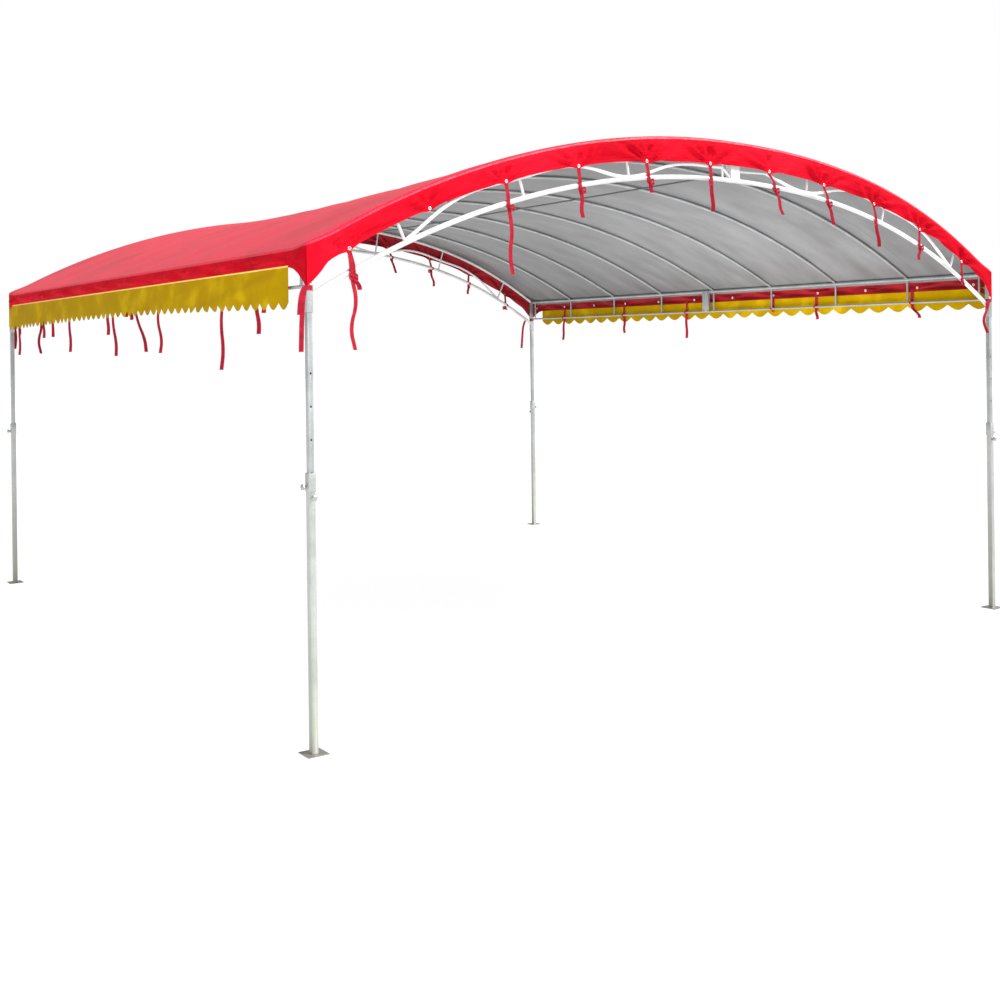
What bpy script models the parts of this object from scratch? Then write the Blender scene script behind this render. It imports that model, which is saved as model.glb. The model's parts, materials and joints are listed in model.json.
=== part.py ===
"""A folding garage canopy: an arched steel frame on four telescoping legs, under a laced cover."""

import math

import bmesh
import bpy
from mathutils import Matrix, Vector

# Driving dimensions, in metres. X runs across the span, Y along the ridge, Z up.
SPAN = 4.86
LENGTH = 5.00
RAFTER_BAYS = 8
EAVE_Z = 2.160
CROWN_Z = 2.818
LOWER_CHORD_END_Z = 1.950
LOWER_CHORD_CROWN_Z = 2.618
LOWER_RAIL_Z = 1.998
RAIL_Z = 2.1585

# The web of each arch: points at an even pitch, an upright at every second one, and a wavy bar.
TRUSS_CENTRE_X = 0.040
TRUSS_PITCH = 0.331
TRUSS_REACH = 6
WAVE_LENGTH = 4
WAVE_FOOT = 2
WAVE_SHARE = 0.50
CROWN_WAVE_SHARE = 0.33
CROWN_JOINT_X = 0.130

# The right half of each arch is bent fuller than round, and the rafters' crowns dip between the arches.
SHOULDER_LIFT = 0.030
SHOULDER_LEAN = 1.5
RAFTER_DIP = 0.072
DIP_SHAPE = 0.8

# Tube sizes, as half widths or radii.
CHORD_R = 0.0125
LOWER_RAIL_R = 0.008
RAFTER_R = 0.0095
WEB_R = 0.007
WAVE_R = 0.009
TIE_R = 0.005
TIE_LIFT = 0.010
TUBE_SIDES = 8
SLIM_SIDES = 6

# Clearance between pieces that rest on each other.
SEAT = 0.0003

# Corner sockets and the two parts of each leg.
LEG_INNER_HALF = 0.0125
LEG_OUTER_HALF = 0.015
LEG_WALL = LEG_OUTER_HALF - LEG_INNER_HALF - SEAT
UPPER_LEG_WALL = 0.0014
SOCKET_BOTTOM_Z = 1.885
SOCKET_TOP_Z = 2.156
UPPER_LEG_BOTTOM_Z = 0.940
UPPER_LEG_TOP_Z = 2.120
LOWER_LEG_TOP_Z = 1.200
COLLAR_HEIGHT = 0.080
COLLAR_HALF = 0.0175
COLLAR_LIP = 0.0005
LEG_FLOOR = 0.001
HOLE_R = 0.0045
TOP_HOLE_Z = 1.625
HOLE_PITCH = 0.142
HOLE_COUNT = 5

# Foot plates.
FOOT_HALF = 0.050
FOOT_THICKNESS = 0.004
PEG_HOLE_R = 0.005
PEG_HOLE_OFFSET = 0.036

# Clamp screws: one on each outward face of a lower leg.
SIDE_SCREW_Z = 1.141
GABLE_SCREW_Z = 1.095
BOSS_R = 0.009
BOSS_HEIGHT = 0.006
NECK_R = 0.006
NECK_HEIGHT = 0.008
KNOB_R = 0.014
KNOB_HEIGHT = 0.011
KNOB_LOBES = 6
KNOB_STEPS = 4 * KNOB_LOBES
KNOB_CHAMFER = 0.0015
LOBE_DEPTH = 0.0025

# Hinge plates where the arches and the eave beams fold.
END_BAR_HALF = 0.0165
CROWN_PLATE_HALF = 0.042
CROWN_PLATE_THICKNESS = 0.004
CROWN_PLATE_TOP_Z = 2.7805
BEAM_JOINT_Y = 0.080
BEAM_PLATE_HALF = 0.036
BEAM_PLATE_THICKNESS = 0.004
BEAM_PLATE_TOP_Z = 2.1635
END_STUD_INSET = 0.050

# The cover, its gable flaps and its scalloped valances.
COVER_THICKNESS = 0.003
COVER_CLEARANCE = LEG_OUTER_HALF + 0.0005
BAND_BOTTOM_Z = 2.072
LEFT_BAND_MIDDLE_Z = 2.081
LEFT_BAND_FALL = 0.010
TAB_TIP_Z = 1.992
TAB_WIDTH = 0.110
TAB_STATIONS = 3
TAB_CURVE = 1.6
FLAP_CROWN_Z = 2.688
FLAP_END_Z = 2.052
VALANCE_THICKNESS = 0.002
VALANCE_LAP = 0.008
VALANCE_VALLEY_Z = 1.975
SCALLOP_DEPTH = 0.036
SCALLOP_PITCH = 0.161
LEFT_VALLEY_END_Z = 1.930
LEFT_VALLEY_BOW = 0.030
LEFT_SCALLOP_DEPTH = 0.030
LEFT_SCALLOP_PITCH = 0.097
SCALLOP_STEPS = 4
SCALLOP_FULLNESS = 0.8
VALANCE_CLOSE_END = 0.020
VALANCE_FAR_END = 0.170

HALF_SPAN = SPAN / 2
HALF_LENGTH = LENGTH / 2


class Arc:
    """A round arc in the XZ plane through a crown point and two ends at the same height."""

    def __init__(self, half_width, end_z, crown_z):
        rise = crown_z - end_z
        self.radius = (half_width**2 + rise**2) / (2 * rise)
        self.centre_z = crown_z - self.radius

    def z_at(self, x):
        return self.centre_z + math.sqrt(self.radius**2 - x**2)


TOP_ARC = Arc(HALF_SPAN, EAVE_Z, CROWN_Z)
LOWER_ARC = Arc(HALF_SPAN, LOWER_CHORD_END_Z, LOWER_CHORD_CROWN_Z)
FLAP_ARC = Arc(HALF_SPAN, FLAP_END_Z, FLAP_CROWN_Z)
COVER_INNER_RADIUS = TOP_ARC.radius + CHORD_R + SEAT
BAND_INNER_X = HALF_SPAN + COVER_CLEARANCE
FLAP_INNER_Y = HALF_LENGTH + COVER_CLEARANCE
COVER_END_Y = FLAP_INNER_Y + COVER_THICKNESS
LEVEL_FROM_Y = HALF_LENGTH - 2 * CHORD_R
RAFTER_PLACES = [-HALF_LENGTH + LENGTH / RAFTER_BAYS * index for index in range(1, RAFTER_BAYS)]


def node_x(node):
    """Where a point of the web lies on the lower chord: node 0 is the one under the ridge."""
    return TRUSS_CENTRE_X + node * TRUSS_PITCH


def lower_angle(node):
    """The angle of a web point about the centre of the lower chord's arc."""
    return math.asin(node_x(node) / LOWER_ARC.radius)


def top_angle(node):
    """The top arc's angle straight above a web point, along the lower arc's radius."""
    angle = lower_angle(node)
    drop = TOP_ARC.centre_z - LOWER_ARC.centre_z
    reach = drop * math.cos(angle) + math.sqrt(TOP_ARC.radius**2 - (drop * math.sin(angle)) ** 2)
    return math.asin(reach * math.sin(angle) / TOP_ARC.radius)


def bend_angles(node_angles, end_angle):
    """All the bends of a tube from eave to eave: the web points, and one more in each end span."""
    first = (node_angles[0] - end_angle) / 2
    last = (node_angles[-1] + end_angle) / 2
    return [-end_angle, first, *node_angles, last, end_angle]


NODES = range(-TRUSS_REACH, TRUSS_REACH + 1)
TOP_END = math.asin(BAND_INNER_X / COVER_INNER_RADIUS)
LOWER_END = math.asin(HALF_SPAN / LOWER_ARC.radius)
TOP_ANGLES = bend_angles([top_angle(node) for node in NODES], TOP_END)
LOWER_ANGLES = bend_angles([lower_angle(node) for node in NODES], LOWER_END)


def arc_point(centre_z, radius, angle, y=0.0):
    return Vector((radius * math.sin(angle), y, centre_z + radius * math.cos(angle)))


def shoulder_lift(angle):
    """How far the fuller half of an arch rises over the round arc at this angle."""
    joint = math.asin(CROWN_JOINT_X / TOP_ARC.radius)
    share = (angle - joint) / (TOP_END - joint)
    if not 0 < share < 1:
        return 0.0
    return SHOULDER_LIFT * math.sin(math.pi * share**SHOULDER_LEAN)


def arch_point(arc, angle, y=0.0):
    """A point on the middle line of an arch's chord."""
    return arc_point(arc.centre_z, arc.radius, angle, y) + Vector((0, 0, shoulder_lift(angle)))


def crown_dip(y):
    """How far the crown lies below the arches' at a place along the ridge. It is nought over an arch."""
    if abs(y) >= LEVEL_FROM_Y:
        return 0.0
    return RAFTER_DIP * math.cos(math.pi / 2 * y / LEVEL_FROM_Y) ** DIP_SHAPE


def rafter_arc(y):
    """The arc that a rafter follows, and its bends, which lie under the cover's."""
    arc = Arc(HALF_SPAN, EAVE_Z, CROWN_Z - crown_dip(y))
    cover_radius = arc.radius + CHORD_R + SEAT
    bends = [math.asin(COVER_INNER_RADIUS * math.sin(angle) / cover_radius) for angle in TOP_ANGLES]
    return arc, bends


def clear_scene():
    for obj in list(bpy.data.objects):
        bpy.data.objects.remove(obj, do_unlink=True)


def material(name, colour, metallic, roughness):
    made = bpy.data.materials.new(name)
    made.use_nodes = True
    shader = made.node_tree.nodes["Principled BSDF"]
    shader.inputs["Base Color"].default_value = (*colour, 1.0)
    shader.inputs["Metallic"].default_value = metallic
    shader.inputs["Roughness"].default_value = roughness
    return made


def empty(name, location, parent=None):
    made = bpy.data.objects.new(name, None)
    bpy.context.scene.collection.objects.link(made)
    made.location = location
    made.parent = parent
    return made


def add_object(name, bm, finish, parent=None, location=(0, 0, 0), smooth_angle=None):
    """Makes an object of the bmesh, which holds its shape about the object's own origin."""
    bmesh.ops.recalc_face_normals(bm, faces=bm.faces)
    mesh = bpy.data.meshes.new(name)
    bm.to_mesh(mesh)
    bm.free()
    if finish is not None:
        mesh.materials.append(finish)
    if smooth_angle is not None:
        mesh.shade_smooth()
        mesh.set_sharp_from_angle(angle=math.radians(smooth_angle))
    made = bpy.data.objects.new(name, mesh)
    bpy.context.scene.collection.objects.link(made)
    made.location = location
    made.parent = parent
    return made


def add_block(bm, low, high):
    """A box between two corners."""
    low = Vector(low)
    high = Vector(high)
    size = high - low
    place = Matrix.Translation((low + high) / 2) @ Matrix.Diagonal((*size, 1.0))
    bmesh.ops.create_cube(bm, size=1.0, matrix=place)


def add_bar(bm, start, end, radius, sides=4):
    """A straight bar with the given number of flats, whose flats lie a radius from its middle."""
    start = Vector(start)
    end = Vector(end)
    along = end - start
    corner_radius = radius / math.cos(math.pi / sides)
    turn = along.to_track_quat("Z", "Y").to_matrix().to_4x4()
    spin = Matrix.Rotation(math.pi / sides, 4, "Z")
    bmesh.ops.create_cone(
        bm,
        cap_ends=True,
        segments=sides,
        radius1=corner_radius,
        radius2=corner_radius,
        depth=along.length,
        matrix=Matrix.Translation((start + end) / 2) @ turn @ spin,
    )


def bridge_rings(bm, rings):
    """Closed rings of equal length joined into one capped tube."""
    made = [[bm.verts.new(point) for point in ring] for ring in rings]
    for near, far in zip(made, made[1:]):
        for i in range(len(near)):
            j = (i + 1) % len(near)
            bm.faces.new((near[i], near[j], far[j], far[i]))
    bm.faces.new(list(reversed(made[0])))
    bm.faces.new(made[-1])


def tube_ring(centre, up, radius, sides):
    """A ring of points round a tube that runs along an arch: up may be long, to mitre or to cut it square."""
    corner_radius = radius / math.cos(math.pi / sides)
    ring = []
    for side in range(sides):
        angle = 2 * math.pi * (side + 0.5) / sides
        across = corner_radius * math.sin(angle)
        rise = corner_radius * math.cos(angle)
        ring.append(centre + Vector((0, across, 0)) + up * rise)
    return ring


def point_at_x(near, far, x):
    """The point at a given x on the line between two points."""
    share = (x - near.x) / (far.x - near.x)
    return near.lerp(far, share)


def arch_rings(points, first_x, last_x, tube_radius, sides):
    """Rings along a bent line from one x to another, mitred at each bend and cut upright at both ends."""
    points = [point.copy() for point in points]
    first_slope = (points[1] - points[0]).normalized()
    last_slope = (points[-1] - points[-2]).normalized()
    points[-1] = point_at_x(points[-2], points[-1], last_x)
    points[0] = point_at_x(points[0], points[1], first_x)
    rings = [tube_ring(points[0], Vector((0, 0, 1 / abs(first_slope.x))), tube_radius, sides)]
    for index in range(1, len(points) - 1):
        back = (points[index] - points[index - 1]).normalized()
        ahead = (points[index + 1] - points[index]).normalized()
        along = (back + ahead).normalized()
        up = Vector((-along.z, 0, along.x)) / along.dot(back)
        rings.append(tube_ring(points[index], up, tube_radius, sides))
    rings.append(tube_ring(points[-1], Vector((0, 0, 1 / abs(last_slope.x))), tube_radius, sides))
    return rings


def fuse(target, shells):
    """Joins many crossing bars to an object with one union, and keeps the result as its mesh."""
    bmesh.ops.recalc_face_normals(shells, faces=shells.faces)
    helper = add_object(target.name + "_bars", shells, None)
    helper.hide_render = True
    helper.display_type = "WIRE"
    union = target.modifiers.new("fuse", "BOOLEAN")
    union.operation = "UNION"
    union.solver = "EXACT"
    union.use_self = True
    union.object = helper
    bake_modifiers(target)
    bpy.data.objects.remove(helper, do_unlink=True)


def cut(target, cutters):
    """Takes the cutters' volume from an object."""
    bmesh.ops.recalc_face_normals(cutters, faces=cutters.faces)
    helper = add_object(target.name + "_cutter", cutters, None)
    helper.hide_render = True
    helper.display_type = "WIRE"
    difference = target.modifiers.new("holes", "BOOLEAN")
    difference.operation = "DIFFERENCE"
    difference.solver = "EXACT"
    difference.object = helper
    bake_modifiers(target)
    bpy.data.objects.remove(helper, do_unlink=True)


def bake_modifiers(target):
    """Replaces an object's mesh with what its modifiers make of it."""
    bpy.context.view_layer.update()
    graph = bpy.context.evaluated_depsgraph_get()
    baked = bpy.data.meshes.new_from_object(target.evaluated_get(graph))
    old = target.data
    target.modifiers.clear()
    target.data = baked
    baked.name = target.name
    bpy.data.meshes.remove(old)


def mirrored_x(bm, side):
    """Turns a shape that was made on the +X side into the one on the side asked for."""
    if side < 0:
        bmesh.ops.scale(bm, vec=(-1, 1, 1), verts=bm.verts)
        bmesh.ops.reverse_faces(bm, faces=bm.faces)


def outward_from_joint(angles, radius, side):
    """The bends of one half of an arch, from the one just past the crown joint out to its eave."""
    joint_angle = math.asin(side * CROWN_JOINT_X / radius)
    outward = sorted(side * angle for angle in angles)
    first = max(index for index, angle in enumerate(outward) if angle < joint_angle)
    return outward[first:]


def wave_point(node, y):
    """Where the wavy bar passes a web point: on the lower chord at its feet, between the chords elsewhere."""
    low = arch_point(LOWER_ARC, lower_angle(node), y)
    top = arch_point(TOP_ARC, top_angle(node), y)
    if node % WAVE_LENGTH == WAVE_FOOT:
        return low
    return low.lerp(top, CROWN_WAVE_SHARE if abs(node) < WAVE_FOOT else WAVE_SHARE)


def arch_half(name, side, y, finish, parent):
    """One half of an arch: two curved chords with uprights and a wavy bar between them."""
    foot_x = HALF_SPAN - LEG_OUTER_HALF - SEAT
    joint_x = CROWN_JOINT_X + side * SEAT / 2
    chords = bmesh.new()
    for arc, angles in ((TOP_ARC, TOP_ANGLES), (LOWER_ARC, LOWER_ANGLES)):
        points = []
        for angle in outward_from_joint(angles, arc.radius, side):
            point = arch_point(arc, side * angle, y)
            point.x *= side
            points.append(point)
        bridge_rings(chords, arch_rings(points, side * joint_x, foot_x, CHORD_R, TUBE_SIDES))
    mirrored_x(chords, side)
    made = add_object(name, chords, finish, parent)

    nodes = [node for node in NODES if (node_x(node) - CROWN_JOINT_X) * side > 0]
    bars = bmesh.new()
    for node in nodes:
        if node % 2 == 0:
            foot = arch_point(LOWER_ARC, lower_angle(node), y)
            head = arch_point(TOP_ARC, top_angle(node), y)
            add_bar(bars, foot, head, WEB_R)
    for node in nodes[:-1]:
        add_bar(bars, wave_point(node, y), wave_point(node + 1, y), WAVE_R)
    end_bar_x = joint_x + side * END_BAR_HALF
    nearest = wave_point(nodes[0] if side > 0 else nodes[-1], y)
    meet_z = nearest.z if side > 0 else LOWER_CHORD_CROWN_Z
    add_bar(bars, nearest, (end_bar_x, y, meet_z), WEB_R)
    add_block(
        bars,
        (end_bar_x - END_BAR_HALF, y - CHORD_R, LOWER_CHORD_CROWN_Z - CHORD_R / 2),
        (end_bar_x + END_BAR_HALF, y + CHORD_R, CROWN_Z),
    )
    fuse(made, bars)
    return made


def crown_plate(name, y_side, finish, parent):
    """The flat plate that hinges the two halves of an arch together, on its inner face."""
    face_y = y_side * (HALF_LENGTH - CHORD_R - SEAT)
    back_y = face_y - y_side * CROWN_PLATE_THICKNESS
    shape = bmesh.new()
    add_block(
        shape,
        (CROWN_JOINT_X - CROWN_PLATE_HALF, min(face_y, back_y), LOWER_CHORD_CROWN_Z - CHORD_R),
        (CROWN_JOINT_X + CROWN_PLATE_HALF, max(face_y, back_y), CROWN_PLATE_TOP_Z),
    )
    return add_object(name, shape, finish, parent)


def eave_beam_half(name, side, y_side, finish, parent):
    """Half of an eave beam: a top rail and a lower rail with a stud under each rafter."""
    x = HALF_SPAN
    outer_y = y_side * (HALF_LENGTH - LEG_OUTER_HALF - SEAT)
    joint_y = BEAM_JOINT_Y + y_side * SEAT / 2
    rails = bmesh.new()
    add_bar(rails, (x, joint_y, RAIL_Z), (x, outer_y, RAIL_Z), CHORD_R, TUBE_SIDES)
    add_bar(rails, (x, joint_y, LOWER_RAIL_Z), (x, outer_y, LOWER_RAIL_Z), LOWER_RAIL_R, SLIM_SIDES)
    mirrored_x(rails, side)
    made = add_object(name, rails, finish, parent)

    bars = bmesh.new()
    stud_places = [place for place in RAFTER_PLACES if (place - BEAM_JOINT_Y) * y_side > 0]
    stud_places.append(outer_y - y_side * END_STUD_INSET)
    for place in stud_places:
        add_bar(bars, (x, place, LOWER_RAIL_Z), (x, place, RAIL_Z), WEB_R)
    low_y = min(joint_y, joint_y + y_side * 2 * END_BAR_HALF)
    add_block(
        bars,
        (x - LOWER_RAIL_R / 2, low_y, LOWER_RAIL_Z - LOWER_RAIL_R / 2),
        (x + LOWER_RAIL_R / 2, low_y + 2 * END_BAR_HALF, RAIL_Z),
    )
    mirrored_x(bars, side)
    fuse(made, bars)
    return made


def beam_plate(name, side, finish, parent):
    """The plate that hinges the two halves of an eave beam together, on its inner face."""
    face_x = HALF_SPAN - CHORD_R - SEAT
    shape = bmesh.new()
    add_block(
        shape,
        (face_x - BEAM_PLATE_THICKNESS, BEAM_JOINT_Y - BEAM_PLATE_HALF, LOWER_RAIL_Z - LOWER_RAIL_R),
        (face_x, BEAM_JOINT_Y + BEAM_PLATE_HALF, BEAM_PLATE_TOP_Z),
    )
    mirrored_x(shape, side)
    return add_object(name, shape, finish, parent)


def rafter(name, y, finish, parent):
    """A bent tube from eave rail to eave rail, its back against the cover."""
    arc, bends = rafter_arc(y)
    radius = arc.radius + CHORD_R - RAFTER_R
    points = [arc_point(arc.centre_z, radius, angle, y) for angle in bends]
    end_x = HALF_SPAN - CHORD_R - SEAT
    shape = bmesh.new()
    bridge_rings(shape, arch_rings(points, -end_x, end_x, RAFTER_R, SLIM_SIDES))
    return add_object(name, shape, finish, parent, smooth_angle=61)


def ridge_tie(name, finish, parent):
    """A slim rod under the ridge, from the middle upright of one arch to the other's."""
    reach = HALF_LENGTH - WEB_R - SEAT
    height = LOWER_CHORD_CROWN_Z + CHORD_R + TIE_LIFT
    shape = bmesh.new()
    add_bar(shape, (TRUSS_CENTRE_X, -reach, height), (TRUSS_CENTRE_X, reach, height), TIE_R, SLIM_SIDES)
    return add_object(name, shape, finish, parent, smooth_angle=61)


def add_square_tube(bm, half, wall, bottom, top):
    """An open square tube about the origin."""
    corners = ((-1, -1), (1, -1), (1, 1), (-1, 1))
    outer = [(x * half, y * half) for x, y in corners]
    inner = [(x * (half - wall), y * (half - wall)) for x, y in corners]
    loops = []
    for outline, height in ((outer, bottom), (outer, top), (inner, top), (inner, bottom)):
        loops.append([bm.verts.new((x, y, height)) for x, y in outline])
    for near, far in zip(loops, loops[1:] + loops[:1]):
        for i in range(4):
            j = (i + 1) % 4
            bm.faces.new((near[i], near[j], far[j], far[i]))


def corner_socket(name, x, y, finish, parent):
    """The square sleeve that takes a leg, an arch and an eave beam."""
    shape = bmesh.new()
    add_square_tube(shape, LEG_OUTER_HALF, LEG_WALL, SOCKET_BOTTOM_Z, SOCKET_TOP_Z)
    return add_object(name, shape, finish, parent, (x, y, 0))


def upper_leg(name, x, y, finish, parent):
    """A square tube with height holes through its outward gable face."""
    shape = bmesh.new()
    add_square_tube(shape, LEG_INNER_HALF, UPPER_LEG_WALL, UPPER_LEG_BOTTOM_Z, UPPER_LEG_TOP_Z)
    made = add_object(name, shape, finish, parent, (x, y, 0))
    outward = math.copysign(1.0, y)
    holes = bmesh.new()
    for index in range(HOLE_COUNT):
        face = Vector((x, y + outward * LEG_INNER_HALF, TOP_HOLE_Z - index * HOLE_PITCH))
        depth = Vector((0, LEG_INNER_HALF / 2, 0))
        add_bar(holes, face - depth, face + depth, HOLE_R, TUBE_SIDES)
    cut(made, holes)
    return made


def lower_leg(name, x, y, finish, parent):
    """A square tube welded to its foot plate, with a collar and two screw bosses near its top."""
    base = bmesh.new()
    add_block(base, (-FOOT_HALF, -FOOT_HALF, 0), (FOOT_HALF, FOOT_HALF, FOOT_THICKNESS))
    made = add_object(name, base, finish, parent, (x, y, 0))
    shells = bmesh.new()
    outward_x = math.copysign(1.0, x)
    outward_y = math.copysign(1.0, y)
    add_block(
        shells,
        (x - LEG_OUTER_HALF, y - LEG_OUTER_HALF, FOOT_THICKNESS / 2),
        (x + LEG_OUTER_HALF, y + LEG_OUTER_HALF, LOWER_LEG_TOP_Z),
    )
    add_block(
        shells,
        (x - COLLAR_HALF, y - COLLAR_HALF, LOWER_LEG_TOP_Z - COLLAR_HEIGHT),
        (x + COLLAR_HALF, y + COLLAR_HALF, LOWER_LEG_TOP_Z - COLLAR_LIP),
    )
    for height, outward in ((SIDE_SCREW_Z, (outward_x, 0, 0)), (GABLE_SCREW_Z, (0, outward_y, 0))):
        middle = Vector((x, y, height))
        face = middle + Vector(outward) * boss_reach(height)
        add_bar(shells, middle, face, BOSS_R, TUBE_SIDES)
    fuse(made, shells)
    hollows = bmesh.new()
    hollow_half = LEG_OUTER_HALF - LEG_WALL
    add_block(
        hollows,
        (x - hollow_half, y - hollow_half, FOOT_THICKNESS + LEG_FLOOR),
        (x + hollow_half, y + hollow_half, LOWER_LEG_TOP_Z + LEG_OUTER_HALF),
    )
    through = Vector((0, 0, 2 * FOOT_THICKNESS))
    for hole_x in (-PEG_HOLE_OFFSET, PEG_HOLE_OFFSET):
        for hole_y in (-PEG_HOLE_OFFSET, PEG_HOLE_OFFSET):
            foot = Vector((x + hole_x, y + hole_y, 0))
            add_bar(hollows, foot - through, foot + through, PEG_HOLE_R, TUBE_SIDES)
    cut(made, hollows)
    return made


def boss_reach(height):
    """How far a screw boss stands from the leg's middle: its face clears the collar where it crosses it."""
    in_collar = height > LOWER_LEG_TOP_Z - COLLAR_HEIGHT - BOSS_R
    return (COLLAR_HALF if in_collar else LEG_OUTER_HALF) + BOSS_HEIGHT


def clamp_knob(name, place, outward, finish, parent):
    """A lobed hand knob, with its origin on its own screw axis at the boss."""
    pivot = empty(name + "_axis", place + outward * (boss_reach(place.z) + SEAT), parent)
    head_end = NECK_HEIGHT + KNOB_HEIGHT
    levels = [
        (0.0, NECK_R, 0.0),
        (NECK_HEIGHT, NECK_R, 0.0),
        (NECK_HEIGHT, KNOB_R - KNOB_CHAMFER, LOBE_DEPTH),
        (NECK_HEIGHT + KNOB_CHAMFER, KNOB_R, LOBE_DEPTH),
        (head_end - KNOB_CHAMFER, KNOB_R, LOBE_DEPTH),
        (head_end, KNOB_R - KNOB_CHAMFER, LOBE_DEPTH),
    ]
    turn = outward.to_track_quat("Z", "Y").to_matrix()
    rings = []
    for height, radius, depth in levels:
        ring = []
        for step in range(KNOB_STEPS):
            angle = 2 * math.pi * step / KNOB_STEPS
            here = radius - depth * (1 - math.cos(angle * KNOB_LOBES)) / 2
            ring.append(turn @ Vector((here * math.cos(angle), here * math.sin(angle), height)))
        rings.append(ring)
    shape = bmesh.new()
    bridge_rings(shape, rings)
    return add_object(name, shape, finish, pivot, smooth_angle=40)


def tab_drop(distance):
    """How far a hem dips at this distance from the cover's corner, from 0 to 1."""
    if distance >= TAB_WIDTH:
        return 0.0
    return (1 - distance / TAB_WIDTH) ** TAB_CURVE


def tab_distances():
    """Distances from the corner at which the dipping hem has a point."""
    return [TAB_WIDTH * (1 - index / TAB_STATIONS) for index in range(TAB_STATIONS)]


def band_bottom_z(y, side):
    """The height of an eave band's hem. The left one slopes down towards the back."""
    if side > 0:
        return BAND_BOTTOM_Z
    return LEFT_BAND_MIDDLE_Z - LEFT_BAND_FALL * y / LENGTH


def cover_profile(y):
    """The cover's inner line from eave to eave. An arch's fuller half lifts it as far as the next rafter."""
    arc, bends = rafter_arc(y)
    last_rafter_y = RAFTER_PLACES[-1]
    lift_share = min(1.0, max(0.0, (abs(y) - last_rafter_y) / (LEVEL_FROM_Y - last_rafter_y)))
    profile = []
    for angle, top_bend in zip(bends, TOP_ANGLES):
        point = arc_point(arc.centre_z, arc.radius + CHORD_R + SEAT, angle)
        point.z += lift_share * shoulder_lift(top_bend)
        profile.append(point)
    return profile


def roof_cover(name, finish, parent):
    """The curved sheet with a band down each eave, as its inner surface with a wall outward."""
    near_corner = [COVER_END_Y - distance for distance in tab_distances()] + [COVER_END_Y]
    stations = [-y for y in reversed(near_corner)] + RAFTER_PLACES + near_corner
    shape = bmesh.new()
    rows = []
    for y in stations:
        profile = cover_profile(y)
        drop = tab_drop(COVER_END_Y - abs(y))
        hems = []
        for side in (-1, 1):
            band_z = band_bottom_z(y, side)
            hems.append(Vector((side * profile[-1].x, 0, band_z - drop * (band_z - TAB_TIP_Z))))
        line = [hems[0]] + profile + [hems[1]]
        rows.append([shape.verts.new((point.x, y, point.z)) for point in line])
    for near, far in zip(rows, rows[1:]):
        for i in range(len(near) - 1):
            shape.faces.new((near[i], near[i + 1], far[i + 1], far[i]))
    made = add_object(name, shape, finish, parent)
    if made.data.polygons[len(made.data.polygons) // 2].normal.z < 0:
        made.data.flip_normals()
    wall = made.modifiers.new("wall", "SOLIDIFY")
    wall.thickness = COVER_THICKNESS
    wall.offset = 1.0
    wall.use_even_offset = True
    return made


def flap_top_z(x):
    """The height of the flap's upper edge, which follows the cover's bends."""
    points = []
    for angle in TOP_ANGLES:
        point = arc_point(TOP_ARC.centre_z, COVER_INNER_RADIUS - SEAT, angle)
        points.append(point + Vector((0, 0, shoulder_lift(angle))))
    for near, far in zip(points, points[1:]):
        if near.x <= x <= far.x:
            return point_at_x(near, far, x).z
    return points[-1].z


def gable_flap(name, y_side, finish, parent):
    """The hanging flap in front of an arch, with a pointed tab at each corner."""
    end_x = BAND_INNER_X - SEAT
    bends = [(COVER_INNER_RADIUS - SEAT) * math.sin(angle) for angle in TOP_ANGLES]
    tabs = [end_x - distance for distance in tab_distances()]
    stations = [x for x in bends if abs(x) < tabs[0]] + tabs + [end_x] + [-x for x in tabs] + [-end_x]
    near_y = y_side * FLAP_INNER_Y
    far_y = y_side * (FLAP_INNER_Y + COVER_THICKNESS - SEAT)
    rings = []
    for x in sorted(stations):
        hem_z = FLAP_ARC.z_at(x) + shoulder_lift(math.asin(x / FLAP_ARC.radius))
        hem_z -= tab_drop(end_x - abs(x)) * (hem_z - TAB_TIP_Z)
        corners = ((near_y, hem_z), (near_y, flap_top_z(x)), (far_y, flap_top_z(x)), (far_y, hem_z))
        rings.append([Vector((x, y, z)) for y, z in corners])
    shape = bmesh.new()
    bridge_rings(shape, rings)
    return add_object(name, shape, finish, parent)


def valley_z(y, side):
    """The height of a valance's hem between its scallops. The left one bows up towards the middle."""
    if side > 0:
        return VALANCE_VALLEY_Z
    return LEFT_VALLEY_END_Z + LEFT_VALLEY_BOW * math.cos(math.pi * y / LENGTH)


def valance(name, side, scallop_pitch, scallop_depth, finish, parent):
    """The scalloped strip sewn along an eave band. The other eave's is its reverse, end for end."""
    low_y = -COVER_END_Y + VALANCE_FAR_END
    high_y = COVER_END_Y - VALANCE_CLOSE_END
    count = round((high_y - low_y) / scallop_pitch)
    pitch = (high_y - low_y) / count
    outline = [(low_y, band_bottom_z(low_y, side) + VALANCE_LAP), (low_y, valley_z(low_y, side))]
    for scallop in range(count):
        for step in range(1, SCALLOP_STEPS + 1):
            share = step / SCALLOP_STEPS
            depth = scallop_depth * abs(math.sin(math.pi * share)) ** SCALLOP_FULLNESS
            if step == SCALLOP_STEPS:
                depth = 0.0
            y = low_y + pitch * (scallop + share)
            outline.append((y, valley_z(y, side) - depth))
    outline.append((high_y, band_bottom_z(high_y, side) + VALANCE_LAP))
    inner_x = BAND_INNER_X + COVER_THICKNESS + SEAT
    shape = bmesh.new()
    face = shape.faces.new([shape.verts.new((inner_x, y, z)) for y, z in outline])
    pushed = bmesh.ops.extrude_face_region(shape, geom=[face])
    moved = [item for item in pushed["geom"] if isinstance(item, bmesh.types.BMVert)]
    bmesh.ops.translate(shape, verts=moved, vec=(VALANCE_THICKNESS, 0, 0))
    if side > 0:
        bmesh.ops.scale(shape, vec=(1, -1, 1), verts=shape.verts)
    else:
        bmesh.ops.scale(shape, vec=(-1, 1, 1), verts=shape.verts)
    return add_object(name, shape, finish, parent)


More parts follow.
